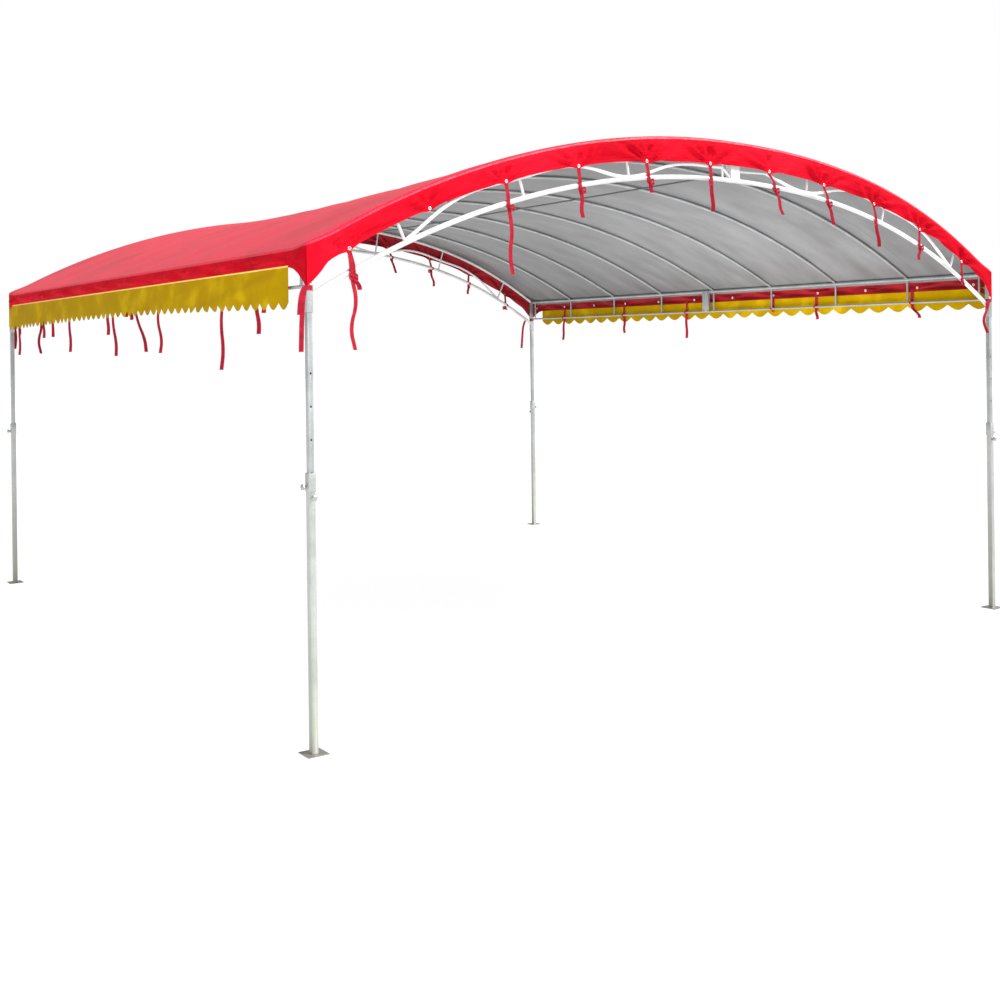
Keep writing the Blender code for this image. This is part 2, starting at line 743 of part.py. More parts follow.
def build():
    clear_scene()
    white = material("white_paint", (0.82, 0.82, 0.80), 0.0, 0.45)
    zinc = material("galvanised_steel", (0.62, 0.64, 0.62), 0.85, 0.45)
    dark_zinc = material("screw_plate", (0.55, 0.55, 0.53), 0.8, 0.5)
    red = material("red_cover_cloth", (0.80, 0.02, 0.05), 0.0, 0.4)
    yellow = material("yellow_valance_cloth", (0.78, 0.55, 0.03), 0.0, 0.5)
    sides = (("left", -1), ("right", 1))
    ends = (("front", -1), ("back", 1))
    roof = empty("roof_frame", (0, 0, 0))

    for end, y_side in ends:
        for side, x_side in sides:
            arch_half(f"{end}_arch_{side}", x_side, y_side * HALF_LENGTH, white, roof)
        crown_plate(f"{end}_crown_hinge_plate", y_side, white, roof)
    for side, x_side in sides:
        for end, y_side in ends:
            eave_beam_half(f"{side}_eave_beam_{end}", x_side, y_side, zinc, roof)
        beam_plate(f"{side}_eave_hinge_plate", x_side, zinc, roof)
    for index, place in enumerate(RAFTER_PLACES, start=1):
        rafter(f"rafter_{index}", place, zinc, roof)
    ridge_tie("ridge_tie", zinc, roof)

    for end, y_side in ends:
        for side, x_side in sides:
            place = f"{end}_{side}"
            x = x_side * HALF_SPAN
            y = y_side * HALF_LENGTH
            corner_socket(f"corner_socket_{place}", x, y, zinc, roof)
            upper_leg(f"upper_leg_{place}", x, y, zinc, roof)
            slider = empty(f"leg_slide_{place}", (0, 0, 0))
            lower_leg(f"lower_leg_{place}", x, y, zinc, slider)
            side_place = Vector((x, y, SIDE_SCREW_Z))
            clamp_knob(f"side_clamp_{place}", side_place, Vector((x_side, 0, 0)), dark_zinc, slider)
            end_place = Vector((x, y, GABLE_SCREW_Z))
            clamp_knob(f"end_clamp_{place}", end_place, Vector((0, y_side, 0)), dark_zinc, slider)

    roof_cover("roof_cover", red, roof)
    for end, y_side in ends:
        gable_flap(f"{end}_gable_flap", y_side, red, roof)
    valance("left_valance", -1, LEFT_SCALLOP_PITCH, LEFT_SCALLOP_DEPTH, yellow, roof)
    valance("right_valance", 1, SCALLOP_PITCH, SCALLOP_DEPTH, yellow, roof)


build()
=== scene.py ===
# %% [markdown]
# A folding garage canopy is a light steel frame under one big laced cover. Two arched trusses stand
# at the gable ends, bent tubes span from eave to eave between them, and four telescoping legs carry
# the whole roof. The frame that is loaded here already holds each steel piece at its true size and
# place, so this script dresses it: tubes become round and welded, and cloth is cut and then draped.

# %% Load the frame
import json
import math

import bpy
import numpy as np
from mathutils import Matrix, Vector

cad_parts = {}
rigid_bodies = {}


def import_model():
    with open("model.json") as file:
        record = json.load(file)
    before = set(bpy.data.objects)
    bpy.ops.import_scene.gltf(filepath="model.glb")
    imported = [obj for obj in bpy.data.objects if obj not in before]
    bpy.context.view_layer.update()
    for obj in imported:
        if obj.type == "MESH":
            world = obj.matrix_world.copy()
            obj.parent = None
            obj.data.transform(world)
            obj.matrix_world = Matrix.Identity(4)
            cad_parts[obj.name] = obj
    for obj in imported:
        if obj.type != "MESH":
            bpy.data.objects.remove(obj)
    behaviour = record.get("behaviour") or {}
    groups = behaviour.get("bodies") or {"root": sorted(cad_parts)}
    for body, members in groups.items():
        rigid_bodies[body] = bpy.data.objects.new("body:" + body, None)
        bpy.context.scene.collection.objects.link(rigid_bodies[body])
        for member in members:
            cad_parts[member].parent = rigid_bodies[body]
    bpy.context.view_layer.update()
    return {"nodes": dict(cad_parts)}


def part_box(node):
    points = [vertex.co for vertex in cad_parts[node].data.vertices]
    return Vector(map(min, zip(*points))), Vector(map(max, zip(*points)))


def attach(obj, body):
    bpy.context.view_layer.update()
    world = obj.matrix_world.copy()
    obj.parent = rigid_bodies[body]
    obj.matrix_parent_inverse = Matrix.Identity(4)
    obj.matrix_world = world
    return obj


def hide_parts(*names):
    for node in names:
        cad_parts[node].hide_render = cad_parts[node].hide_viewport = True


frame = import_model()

print("steel and cloth nodes in the frame:", len(frame["nodes"]))

# %% [markdown]
# Most pieces hang on a few numbers: where the posts stand, and the three arcs that give the roof its
# shape. The posts and the crown are read from the frame. An arc through a crown and two eaves needs
# only its half width and two heights, so a small class works out its radius and centre.

# %% Sizes that the pieces share
LEG_LOW, LEG_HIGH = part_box("lower_leg_front_right")
ARCH_LOW, ARCH_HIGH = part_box("front_arch_right")
POST_X = (LEG_LOW.x + LEG_HIGH.x) / 2
POST_Y = -(LEG_LOW.y + LEG_HIGH.y) / 2
TUBE_R = (ARCH_HIGH.y - ARCH_LOW.y) / 2
CROWN_Z = ARCH_HIGH.z - TUBE_R
POST_HALF = 0.015


class Arc:
    """A round arc across the span, through a crown and two ends at the same height."""

    def __init__(self, end_z, crown_z):
        rise = crown_z - end_z
        self.radius = (POST_X**2 + rise**2) / (2 * rise)
        self.centre_z = crown_z - self.radius

    def z_at(self, x):
        return self.centre_z + np.sqrt(self.radius**2 - np.square(x))

    def angle_at(self, x):
        return math.asin(x / self.radius)

    def point(self, angle, y):
        return Vector((self.radius * math.sin(angle), y, self.centre_z + self.radius * math.cos(angle)))


EAVE_Z = 2.160
TOP_ARC = Arc(EAVE_Z, CROWN_Z)
LOWER_ARC = Arc(1.950, 2.618)
FLAP_ARC = Arc(2.058, 2.694)
print("posts at", round(POST_X, 3), round(POST_Y, 3), "top arc radius", round(TOP_ARC.radius, 3))

# %% [markdown]
# No bent tube is a perfect arc. The right half of each gable arch is fuller than round, and the tubes
# between the gables have sunk, most in the middle of the ridge. Both are written as smooth functions,
# so that tubes, cloth and ties can all ask for the same height.

# %% How the tubes differ from the round arcs
JOINT_X = 0.130
SHOULDER_LIFT = 0.030
SHOULDER_LEAN = 1.5
RAFTER_DIP = 0.072
DIP_SHAPE = 0.8
RAFTER_BAYS = 8
BAY = 2 * POST_Y / RAFTER_BAYS
RAFTER_PLACES = [-POST_Y + BAY * index for index in range(1, RAFTER_BAYS)]
LEVEL_FROM_Y = POST_Y - 2 * TUBE_R


def shoulder_lift(x):
    """How far the fuller half of an arch rises over the round arc."""
    start = TOP_ARC.angle_at(JOINT_X)
    end = TOP_ARC.angle_at(POST_X)
    share = np.clip((np.arcsin(np.asarray(x) / TOP_ARC.radius) - start) / (end - start), 0, 1)
    return SHOULDER_LIFT * np.sin(math.pi * share**SHOULDER_LEAN)


def crown_dip(y):
    """How far the crown has sunk at a place along the ridge. It is nought over the arches."""
    share = np.clip(np.abs(y) / LEVEL_FROM_Y, 0, 1)
    return RAFTER_DIP * np.cos(math.pi / 2 * share) ** DIP_SHAPE


print("crown dips in mm:", [round(1000 * float(crown_dip(y))) for y in RAFTER_PLACES])

# %% [markdown]
# The photograph was taken from outside the front left corner, at about eye height, with the lens
# level. Its vertical lines stay upright, and the horizon lies below the middle of the frame, which
# a small vertical shift of the lens gives without tilting the camera.

# %% Place the camera
CAMERA_PLACE = Vector((-4.829, -7.368, 1.726))
CAMERA_YAW = math.radians(34.885)
CAMERA_ROLL = math.radians(-0.705)
CAMERA_LENS_MM = 45.21
CAMERA_SHIFT_Y = -0.1526

bpy.ops.object.camera_add()
camera = bpy.context.object
ahead = Vector((math.sin(CAMERA_YAW), math.cos(CAMERA_YAW), 0))
level = Vector((math.cos(CAMERA_YAW), -math.sin(CAMERA_YAW), 0))
upright = Vector((0, 0, 1))
across = level * math.cos(CAMERA_ROLL) + upright * math.sin(CAMERA_ROLL)
above = upright * math.cos(CAMERA_ROLL) - level * math.sin(CAMERA_ROLL)
turn = Matrix((across, above, -ahead)).transposed().to_4x4()
camera.matrix_world = Matrix.Translation(CAMERA_PLACE) @ turn
camera.data.lens = CAMERA_LENS_MM
camera.data.shift_y = CAMERA_SHIFT_Y
bpy.context.scene.camera = camera
print("camera at", [round(value, 2) for value in CAMERA_PLACE])

# %% [markdown]
# Every finish starts from the same shader with a colour, a roughness and a metal share, and then
# gets its own pattern. Three small helpers keep those patterns short to write: one makes the
# finish, one adds a node with its values, and one draws a link.

# %% Helpers for finishes


def new_finish(name, colour, roughness, metal=0.0):
    finish = bpy.data.materials.new(name)
    finish.use_nodes = True
    shader = finish.node_tree.nodes["Principled BSDF"]
    shader.inputs["Base Color"].default_value = (*colour, 1)
    shader.inputs["Roughness"].default_value = roughness
    shader.inputs["Metallic"].default_value = metal
    return finish, shader


def add_node(finish, kind, values=None, **settings):
    made = finish.node_tree.nodes.new(kind)
    for name, value in settings.items():
        setattr(made, name, value)
    for name, value in (values or {}).items():
        made.inputs[name].default_value = value
    return made


def link(finish, source, target):
    finish.node_tree.links.new(source, target)


def placed(finish, source, scale=(1, 1, 1)):
    """Pattern coordinates in metres, from the Object or the UV output, stretched by a scale."""
    coordinates = add_node(finish, "ShaderNodeTexCoord")
    mapping = add_node(finish, "ShaderNodeMapping", {"Scale": scale})
    link(finish, coordinates.outputs[source], mapping.inputs["Vector"])
    return mapping.outputs["Vector"]


def noise(finish, place, scale, detail=3.0, roughness=0.55):
    values = {"Scale": scale, "Detail": detail, "Roughness": roughness}
    made = add_node(finish, "ShaderNodeTexNoise", values)
    link(finish, place, made.inputs["Vector"])
    return made.outputs["Fac"]


def ramp(finish, factor, stops):
    """Colours along a factor, from a list of (position, colour)."""
    made = add_node(finish, "ShaderNodeValToRGB")
    elements = made.color_ramp.elements
    while len(elements) < len(stops):
        elements.new(1.0)
    for element, (position, colour) in zip(elements, stops):
        element.position = position
        element.color = (*colour, 1)
    link(finish, factor, made.inputs["Fac"])
    return made.outputs["Color"]


def spread(finish, factor, low, high, from_low=0.0, from_high=1.0):
    """A factor stretched to run from low to high."""
    values = {"From Min": from_low, "From Max": from_high, "To Min": low, "To Max": high}
    made = add_node(finish, "ShaderNodeMapRange", values)
    link(finish, factor, made.inputs["Value"])
    return made.outputs["Result"]


def math_node(finish, operation, first, second=0.0):
    made = add_node(finish, "ShaderNodeMath", operation=operation)
    for socket, value in zip(made.inputs, (first, second)):
        if isinstance(value, (int, float)):
            socket.default_value = value
        else:
            link(finish, value, socket)
    return made.outputs[0]


def mixed(finish, factor, first, second, blend="MIX"):
    """Two colours mixed by a factor. Each is a colour output or three numbers."""
    made = add_node(finish, "ShaderNodeMix", data_type="RGBA", blend_type=blend)
    for socket, value in ((made.inputs["Factor"], factor), (made.inputs[6], first), (made.inputs[7], second)):
        if isinstance(value, float):
            socket.default_value = value
        elif isinstance(value, tuple):
            socket.default_value = (*value, 1)
        else:
            link(finish, value, socket)
    return made.outputs[2]


def add_bump(finish, shader, heights):
    """Stacks height patterns, each with its depth in metres, into the surface normal."""
    before = None
    for height, depth in heights:
        bump = add_node(finish, "ShaderNodeBump", {"Strength": 1.0, "Distance": depth})
        link(finish, height, bump.inputs["Height"])
        if before is not None:
            link(finish, before, bump.inputs["Normal"])
        before = bump.outputs["Normal"]
    link(finish, before, shader.inputs["Normal"])


print("finish helpers ready")

# %% [markdown]
# The arches are powder coated white, and the tubes, beams and legs are galvanised. Paint has a fine
# orange peel and a little grime in soft random patches. Zinc freezes into flakes of slightly different
# brightness, so a cell pattern tints it, and long thin streaks show where the tube was drawn.

# %% Steel finishes
WHITE = (0.68, 0.69, 0.69)


def painted_steel():
    finish, shader = new_finish("white_powder_paint", WHITE, 0.34)
    place = placed(finish, "Object")
    grime = noise(finish, place, 7.0, 5.0)
    tint = ramp(finish, grime, [(0.30, (0.56, 0.56, 0.54)), (0.52, WHITE), (0.80, (0.74, 0.75, 0.76))])
    link(finish, tint, shader.inputs["Base Color"])
    link(finish, spread(finish, grime, 0.26, 0.46), shader.inputs["Roughness"])
    peel = noise(finish, place, 420.0, 2.0)
    add_bump(finish, shader, [(peel, 0.0003)])
    return finish


def zinc_steel(name, dark, light, roughness, metal, streak_scale=(60, 60, 2.5)):
    """Hot dipped zinc: flakes, drawn streaks and a dull bloom."""
    finish, shader = new_finish(name, light, roughness, metal)
    place = placed(finish, "Object")
    flakes = add_node(finish, "ShaderNodeTexVoronoi", {"Scale": 130.0})
    link(finish, place, flakes.inputs["Vector"])
    flake_tone = math_node(finish, "MULTIPLY", flakes.outputs["Distance"], 0.8)
    bloom = noise(finish, place, 9.0, 4.0)
    streaks = noise(finish, placed(finish, "Object", streak_scale), 3.0, 3.0)
    tone = math_node(finish, "ADD", math_node(finish, "MULTIPLY", flake_tone, 0.35), bloom)
    tone = math_node(finish, "ADD", math_node(finish, "MULTIPLY", streaks, 0.5), tone)
    tint = ramp(finish, spread(finish, tone, 0.0, 1.0, 0.45, 1.25), [(0.0, dark), (1.0, light)])
    link(finish, tint, shader.inputs["Base Color"])
    link(finish, spread(finish, bloom, roughness - 0.10, roughness + 0.14), shader.inputs["Roughness"])
    add_bump(finish, shader, [(streaks, 0.0004), (flakes.outputs["Distance"], 0.0001)])
    return finish, shader, tint


PAINT = painted_steel()
ZINC, _, _ = zinc_steel("galvanised_tube", (0.30, 0.32, 0.32), (0.56, 0.58, 0.58), 0.40, 0.7)
DARK_ZINC, _, _ = zinc_steel("plated_screw", (0.34, 0.34, 0.33), (0.60, 0.60, 0.58), 0.36, 0.85)
# The ridge tie's zinc is painted much darker than the rest, as painted shade under the roof.
SHADED_TIE_ZINC, _, _ = zinc_steel("ridge_tube_painted_shade", (0.12, 0.12, 0.12), (0.22, 0.22, 0.22), 0.50, 0.5)
print("steel finishes:", PAINT.name, ZINC.name, DARK_ZINC.name)

# %% [markdown]
# The lower legs stand outdoors, and their zinc is duller and faintly green towards the ground, with
# splashed dirt in the last few centimetres. Height is the Z of the Object coordinates, so a ramp on
# it mixes the weathered tint over the clean one. A noise breaks the edge of the splashes.

# %% Leg finish
SPLASH_Z = 0.10
WEATHERED_Z = 0.75


def weathered_zinc():
    finish, shader, clean = zinc_steel("galvanised_leg", (0.36, 0.38, 0.36), (0.57, 0.59, 0.57), 0.42, 0.6)
    place = placed(finish, "Object")
    parts = add_node(finish, "ShaderNodeSeparateXYZ")
    link(finish, place, parts.inputs["Vector"])
    ragged = math_node(finish, "MULTIPLY", noise(finish, place, 22.0, 4.0), 0.10)
    height = math_node(finish, "ADD", parts.outputs["Z"], ragged)
    weathered = spread(finish, height, 0.75, 0.0, SPLASH_Z, WEATHERED_Z)
    tint = mixed(finish, weathered, clean, (0.42, 0.45, 0.36))
    splashed = spread(finish, height, 0.85, 0.0, 0.05, SPLASH_Z + 0.05)
    tint = mixed(finish, splashed, tint, (0.33, 0.31, 0.29))
    link(finish, tint, shader.inputs["Base Color"])
    return finish


LEG_ZINC = weathered_zinc()
print("leg finish:", LEG_ZINC.name)

# %% [markdown]
# The cover is woven polyester with a coat of soft plastic. From outside it is a deep even red whose
# gloss picks up the sky, and the weave only shows as a fine regular tooth. The pattern has to follow
# the cloth, so it reads the sheet's own UV map, which is laid out in metres: two wave textures at
# right angles are the warp and the weft. A point attribute called hem tells how far the nearest hem
# is, and a sewn line follows it there.

# %% Red cloth finish
THREAD_WAVES = 110.0
HEM_STITCH = 0.018


def weave(finish, waves=THREAD_WAVES):
    """Warp and weft threads as one height pattern, on the sheet's own map in metres."""
    place = placed(finish, "UV")
    threads = []
    for direction in ("X", "Y"):
        made = add_node(finish, "ShaderNodeTexWave", {"Scale": waves}, bands_direction=direction)
        link(finish, place, made.inputs["Vector"])
        threads.append(made.outputs["Fac"])
    return math_node(finish, "MAXIMUM", *threads)


def stitch_line(finish, distance, width=0.0035):
    """One where the cloth lies at this distance from its hem, and nought elsewhere."""
    hem = add_node(finish, "ShaderNodeAttribute", attribute_name="hem")
    away = math_node(finish, "ABSOLUTE", math_node(finish, "SUBTRACT", hem.outputs["Fac"], distance))
    return spread(finish, away, 1.0, 0.0, 0.0, width)


def coated_cloth(name, dark, colour, light, roughness, wrinkle_depth=0.004, shine=0.3):
    finish, shader = new_finish(name, colour, roughness)
    shader.inputs["Specular IOR Level"].default_value = shine
    cloth = placed(finish, "UV")
    patches = noise(finish, cloth, 1.7, 4.0)
    tint = ramp(finish, patches, [(0.30, dark), (0.50, colour), (0.72, light)])
    stitches = stitch_line(finish, HEM_STITCH)
    tint = mixed(finish, math_node(finish, "MULTIPLY", stitches, 0.45), tint, dark)
    link(finish, tint, shader.inputs["Base Color"])
    link(finish, spread(finish, patches, roughness - 0.06, roughness + 0.08), shader.inputs["Roughness"])
    creases = noise(finish, placed(finish, "UV", (2.2, 7.0, 1)), 3.0, 5.0, 0.6)
    threads = weave(finish)
    dent = math_node(finish, "SUBTRACT", 1.0, stitches)
    add_bump(finish, shader, [(creases, wrinkle_depth), (threads, 0.00012), (dent, 0.0010)])
    return finish


# The roof's red is lighter and pinker than the skirts' red: the cloth's own red with painted sky sheen on top.
SHEEN_LIT_RED = (0.80, 0.005, 0.040)
HUNG_RED = (0.62, 0.005, 0.018)
ROOF_RED = coated_cloth("red_cover_cloth", (0.60, 0.003, 0.026), SHEEN_LIT_RED, (0.86, 0.012, 0.055), 0.44, 0.012, 0.4)
SKIRT_RED = coated_cloth("red_skirt_cloth", (0.42, 0.002, 0.010), HUNG_RED, (0.74, 0.010, 0.030), 0.50, 0.016, 0.01)
print("red cloth:", ROOF_RED.name, SKIRT_RED.name)

# %% [markdown]
# Inside, the roof has a silver coat that keeps the sun out. It is grey and slightly metallic, with
# a fine net of creases and, about every 1.3 m, a welded seam that runs from eave to eave. The seams
# are lines at an even pitch along the sheet's second map axis. The skirts have no silver: their
# back is the same red, painted darker as painted shade, since it faces the shaded inside.

# %% Lining finishes
SEAM_PITCH = 1.32
SEAM_HALF = 0.008


def silver_lining():
    finish, shader = new_finish("silver_lining", (0.20, 0.20, 0.205), 0.50, 0.15)
    cloth = placed(finish, "UV")
    parts = add_node(finish, "ShaderNodeSeparateXYZ")
    link(finish, cloth, parts.inputs["Vector"])
    panels = math_node(finish, "DIVIDE", parts.outputs["Y"], SEAM_PITCH)
    inside = math_node(finish, "SUBTRACT", math_node(finish, "FRACT", panels), 0.5)
    seam = spread(finish, math_node(finish, "ABSOLUTE", inside), 1.0, 0.0, 0.0, SEAM_HALF / SEAM_PITCH)
    patches = noise(finish, placed(finish, "UV", (1, 3, 1)), 2.0, 5.0)
    tint = ramp(finish, patches, [(0.30, (0.155, 0.155, 0.160)), (0.70, (0.235, 0.235, 0.240))])
    tint = mixed(finish, math_node(finish, "MULTIPLY", seam, 0.55), tint, (0.12, 0.12, 0.13))
    link(finish, tint, shader.inputs["Base Color"])
    link(finish, spread(finish, patches, 0.40, 0.58), shader.inputs["Roughness"])
    creases = noise(finish, placed(finish, "UV", (2.5, 9.0, 1)), 4.0, 6.0, 0.62)
    threads = weave(finish)
    add_bump(finish, shader, [(creases, 0.004), (threads, 0.00012), (seam, 0.0008)])
    return finish


LINING = silver_lining()
# The skirts' back is the cover's red at half brightness: painted shade of the canopy's inside.
SHADED_SKIRT_BACK = coated_cloth("red_skirt_back_painted_shade", (0.22, 0.002, 0.006), (0.31, 0.004, 0.010), (0.38, 0.006, 0.014), 0.55)
print("lining finishes:", LINING.name, SHADED_SKIRT_BACK.name)

# %% [markdown]
# The valances are a lighter yellow cloth with a bias tape sewn along the top, painted bright cream,
# partly a painted highlight of its rolled edge. The tie straps are strips of the cover's own red cloth
# with fine ribs along them. The eyelets are pressed rings with a pale plating, which show as small white dots.

# %% Yellow cloth, tape, strap and eyelet finishes
YELLOW = (0.44, 0.275, 0.001)


def yellow_cloth():
    finish, shader = new_finish("yellow_valance_cloth", YELLOW, 0.50)
    shader.inputs["Specular IOR Level"].default_value = 0.01
    cloth = placed(finish, "UV")
    patches = noise(finish, cloth, 5.0, 4.0)
    tint = ramp(finish, patches, [(0.28, (0.40, 0.22, 0.002)), (0.52, YELLOW), (0.76, (0.66, 0.44, 0.006))])
    edge = stitch_line(finish, 0.006, 0.003)
    tint = mixed(finish, math_node(finish, "MULTIPLY", edge, 0.35), tint, (0.32, 0.17, 0.002))
    link(finish, tint, shader.inputs["Base Color"])
    link(finish, spread(finish, patches, 0.42, 0.58), shader.inputs["Roughness"])
    folds = noise(finish, placed(finish, "UV", (1.0, 3, 1)), 1.6, 2.0)
    creases = noise(finish, placed(finish, "UV", (9, 14, 1)), 3.0, 4.0)
    add_bump(finish, shader, [(folds, 0.010), (creases, 0.0004), (weave(finish), 0.00012)])
    return finish


def ribbed_cloth(name, dark, light, roughness):
    """Narrow tape: ribs along its length, and a soft mottled tone."""
    finish, shader = new_finish(name, light, roughness)
    shader.inputs["Specular IOR Level"].default_value = 0.2
    cloth = placed(finish, "UV")
    patches = noise(finish, cloth, 30.0, 3.0)
    tint = ramp(finish, patches, [(0.25, dark), (0.65, light)])
    link(finish, tint, shader.inputs["Base Color"])
    link(finish, spread(finish, patches, roughness - 0.05, roughness + 0.10), shader.inputs["Roughness"])
    ribs = add_node(finish, "ShaderNodeTexWave", {"Scale": 140.0}, bands_direction="Y")
    link(finish, cloth, ribs.inputs["Vector"])
    add_bump(finish, shader, [(ribs.outputs["Fac"], 0.0003)])
    return finish


def plated_brass():
    finish, shader = new_finish("nickel_eyelet", (0.86, 0.85, 0.82), 0.32, 0.5)
    place = placed(finish, "Object")
    rub = noise(finish, place, 90.0, 4.0)
    tint = ramp(finish, rub, [(0.35, (0.74, 0.70, 0.62)), (0.60, (0.88, 0.87, 0.84))])
    link(finish, tint, shader.inputs["Base Color"])
    link(finish, spread(finish, rub, 0.20, 0.42), shader.inputs["Roughness"])
    add_bump(finish, shader, [(rub, 0.0002)])
    return finish


VALANCE_YELLOW = yellow_cloth()
# The tape is far brighter than the valance: its own colour with a painted highlight of the rolled edge.
TAPE_WITH_HIGHLIGHT = ribbed_cloth("yellow_tape_painted_highlight", (0.92, 0.60, 0.10), (0.98, 0.72, 0.20), 0.45)
STRAP = ribbed_cloth("red_strap_cloth", (0.22, 0.004, 0.014), (0.44, 0.007, 0.026), 0.60)
EYELET = plated_brass()
print("trim finishes:", TAPE_WITH_HIGHLIGHT.name, STRAP.name, EYELET.name)

# %% [markdown]
# New pieces are modelled as by hand, in edit mode. A piece starts as an empty mesh at the origin, so
# everything that is added there already lies in its true place, and the finished object needs no
# move. Three starts are enough for the steel: a bar between two points, a block between two corners
# and a tube swept along an arc by the spin tool. One boolean at the end welds them into one skin.

# %% Helpers for modelling in edit mode
SMOOTH_ANGLE = math.radians(40)


def only(*objects):
    bpy.ops.object.select_all(action="DESELECT")
    for obj in objects:
        obj.select_set(True)
    bpy.context.view_layer.objects.active = objects[0]


def start_piece(name):
    """An empty mesh at the origin, open in edit mode."""
    piece = bpy.data.objects.new(name, bpy.data.meshes.new(name))
    bpy.context.scene.collection.objects.link(piece)
    only(piece)
    bpy.ops.object.mode_set(mode="EDIT")
    return piece


def clear_selection():
    bpy.ops.mesh.select_all(action="DESELECT")


def add_bar(start, end, radius, sides=16):
    start = Vector(start)
    end = Vector(end)
    clear_selection()
    bpy.ops.mesh.primitive_cylinder_add(
        vertices=sides,
        radius=radius,
        depth=(end - start).length,
        location=(start + end) / 2,
        rotation=(end - start).to_track_quat("Z", "Y").to_euler(),
    )


def add_block(low, high, edge=0.0):
    """A block between two corners, its edges rounded by the bevel tool."""
    low = Vector(low)
    high = Vector(high)
    clear_selection()
    bpy.ops.mesh.primitive_cube_add(size=1, location=(low + high) / 2, scale=high - low)
    if edge > 0:
        bpy.ops.mesh.bevel(offset=edge, segments=2, affect="EDGES")


def add_swept_tube(arc_radius, centre_z, first_x, last_x, y, radius, sides=16, steps=24):
    """A tube along an arc across the span: a filled circle spun about the arc's centre."""
    start = math.asin(first_x / arc_radius)
    sweep = math.asin(last_x / arc_radius) - start
    place = (first_x, y, centre_z + arc_radius * math.cos(start))
    clear_selection()
    bpy.ops.mesh.primitive_circle_add(
        vertices=sides, radius=radius, fill_type="NGON", location=place, rotation=(0, math.pi / 2 + start, 0)
    )
    bpy.ops.mesh.spin(steps=steps, angle=-sweep, center=(0, y, centre_z), axis=(0, 1, 0))


def add_ring(place, direction, radius, thickness, around=20, section=8):
    """A torus: a weld bead round a joint, or a pressed ring."""
    clear_selection()
    bpy.ops.mesh.primitive_torus_add(
        location=place,
        rotation=Vector(direction).to_track_quat("Z", "Y").to_euler(),
        major_segments=around,
        minor_segments=section,
        major_radius=radius,
        minor_radius=thickness,
    )


def close_piece(piece, *finishes, weld=False, smooth=SMOOTH_ANGLE):
    """Merges doubles, points the faces outward, welds crossing solids into one skin and shades it."""
    bpy.ops.mesh.select_all(action="SELECT")
    bpy.ops.mesh.remove_doubles(threshold=0.00002)
    bpy.ops.mesh.normals_make_consistent(inside=False)
    if weld:
        bpy.ops.mesh.intersect_boolean(operation="UNION", use_self=True, solver="EXACT")
        bpy.ops.mesh.select_all(action="SELECT")
        bpy.ops.mesh.remove_doubles(threshold=0.00002)
    bpy.ops.object.mode_set(mode="OBJECT")
    for finish in finishes:
        piece.data.materials.append(finish)
    only(piece)
    bpy.ops.object.shade_smooth_by_angle(angle=smooth)
    return piece


def read_points(piece):
    points = np.empty(len(piece.data.vertices) * 3)
    piece.data.vertices.foreach_get("co", points)
    return points.reshape(-1, 3)


def write_points(piece, points):
    piece.data.vertices.foreach_set("co", np.ascontiguousarray(points).ravel())
    piece.data.update()


def copy_piece(piece, name, scale=(1, 1, 1), move=(0, 0, 0)):
    """A copy with its own mesh, mirrored or moved, its place kept in the mesh."""
    made = bpy.data.objects.new(name, piece.data.copy())
    bpy.context.scene.collection.objects.link(made)
    made.data.transform(Matrix.Translation(move) @ Matrix.Diagonal((*scale, 1)))
    if scale[0] * scale[1] * scale[2] < 0:
        made.data.flip_normals()
    return made


def keep(piece, body, slot, *nodes):
    """Hangs a finished piece on its body and hides what it stands for. The slot is not used."""
    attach(piece, body)
    if nodes:
        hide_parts(*nodes)
    return piece


ROOF = "roof_frame"
print("modelling helpers ready")

# %% [markdown]
# Each gable arch folds in the middle, so it is made as two halves with a flat bar at the joint. A
# half has two round chords on different arcs, and an upright at every second web point. A thinner
# bar runs between the chords in long waves: it touches the lower chord at every fourth point and
# bends over in a flat crest between. A bezier curve with automatic handles gives those soft bends.

# %% Web points of the arches
WEB_CENTRE_X = 0.040
WEB_PITCH = 0.331
WEB_REACH = 6
WEB_R = 0.007
WAVE_R = 0.009
WAVE_LENGTH = 4
WAVE_FOOT = 2
CREST_SHARE = 0.50
CROWN_CREST_SHARE = 0.33
JOINT_GAP = 0.0003
END_BAR_HALF = 0.0165
FOOT_X = POST_X - POST_HALF - JOINT_GAP
CHORD_OVERRUN = 0.010


def web_angle(node):
    return math.asin((WEB_CENTRE_X + node * WEB_PITCH) / LOWER_ARC.radius)


def web_foot(node, y):
    return LOWER_ARC.point(web_angle(node), y)


def web_head(node, y):
    """Where a line from the lower arc's centre through a web point meets the top chord."""
    angle = web_angle(node)
    drop = TOP_ARC.centre_z - LOWER_ARC.centre_z
    reach = drop * math.cos(angle) + math.sqrt(TOP_ARC.radius**2 - (drop * math.sin(angle)) ** 2)
    return Vector((reach * math.sin(angle), y, LOWER_ARC.centre_z + reach * math.cos(angle)))


def wave_point(node, y):
    if node % WAVE_LENGTH == WAVE_FOOT:
        return web_foot(node, y).lerp(web_head(node, y), 0.05)
    return web_foot(node, y).lerp(web_head(node, y), CROWN_CREST_SHARE if abs(node) < WAVE_FOOT else CREST_SHARE)


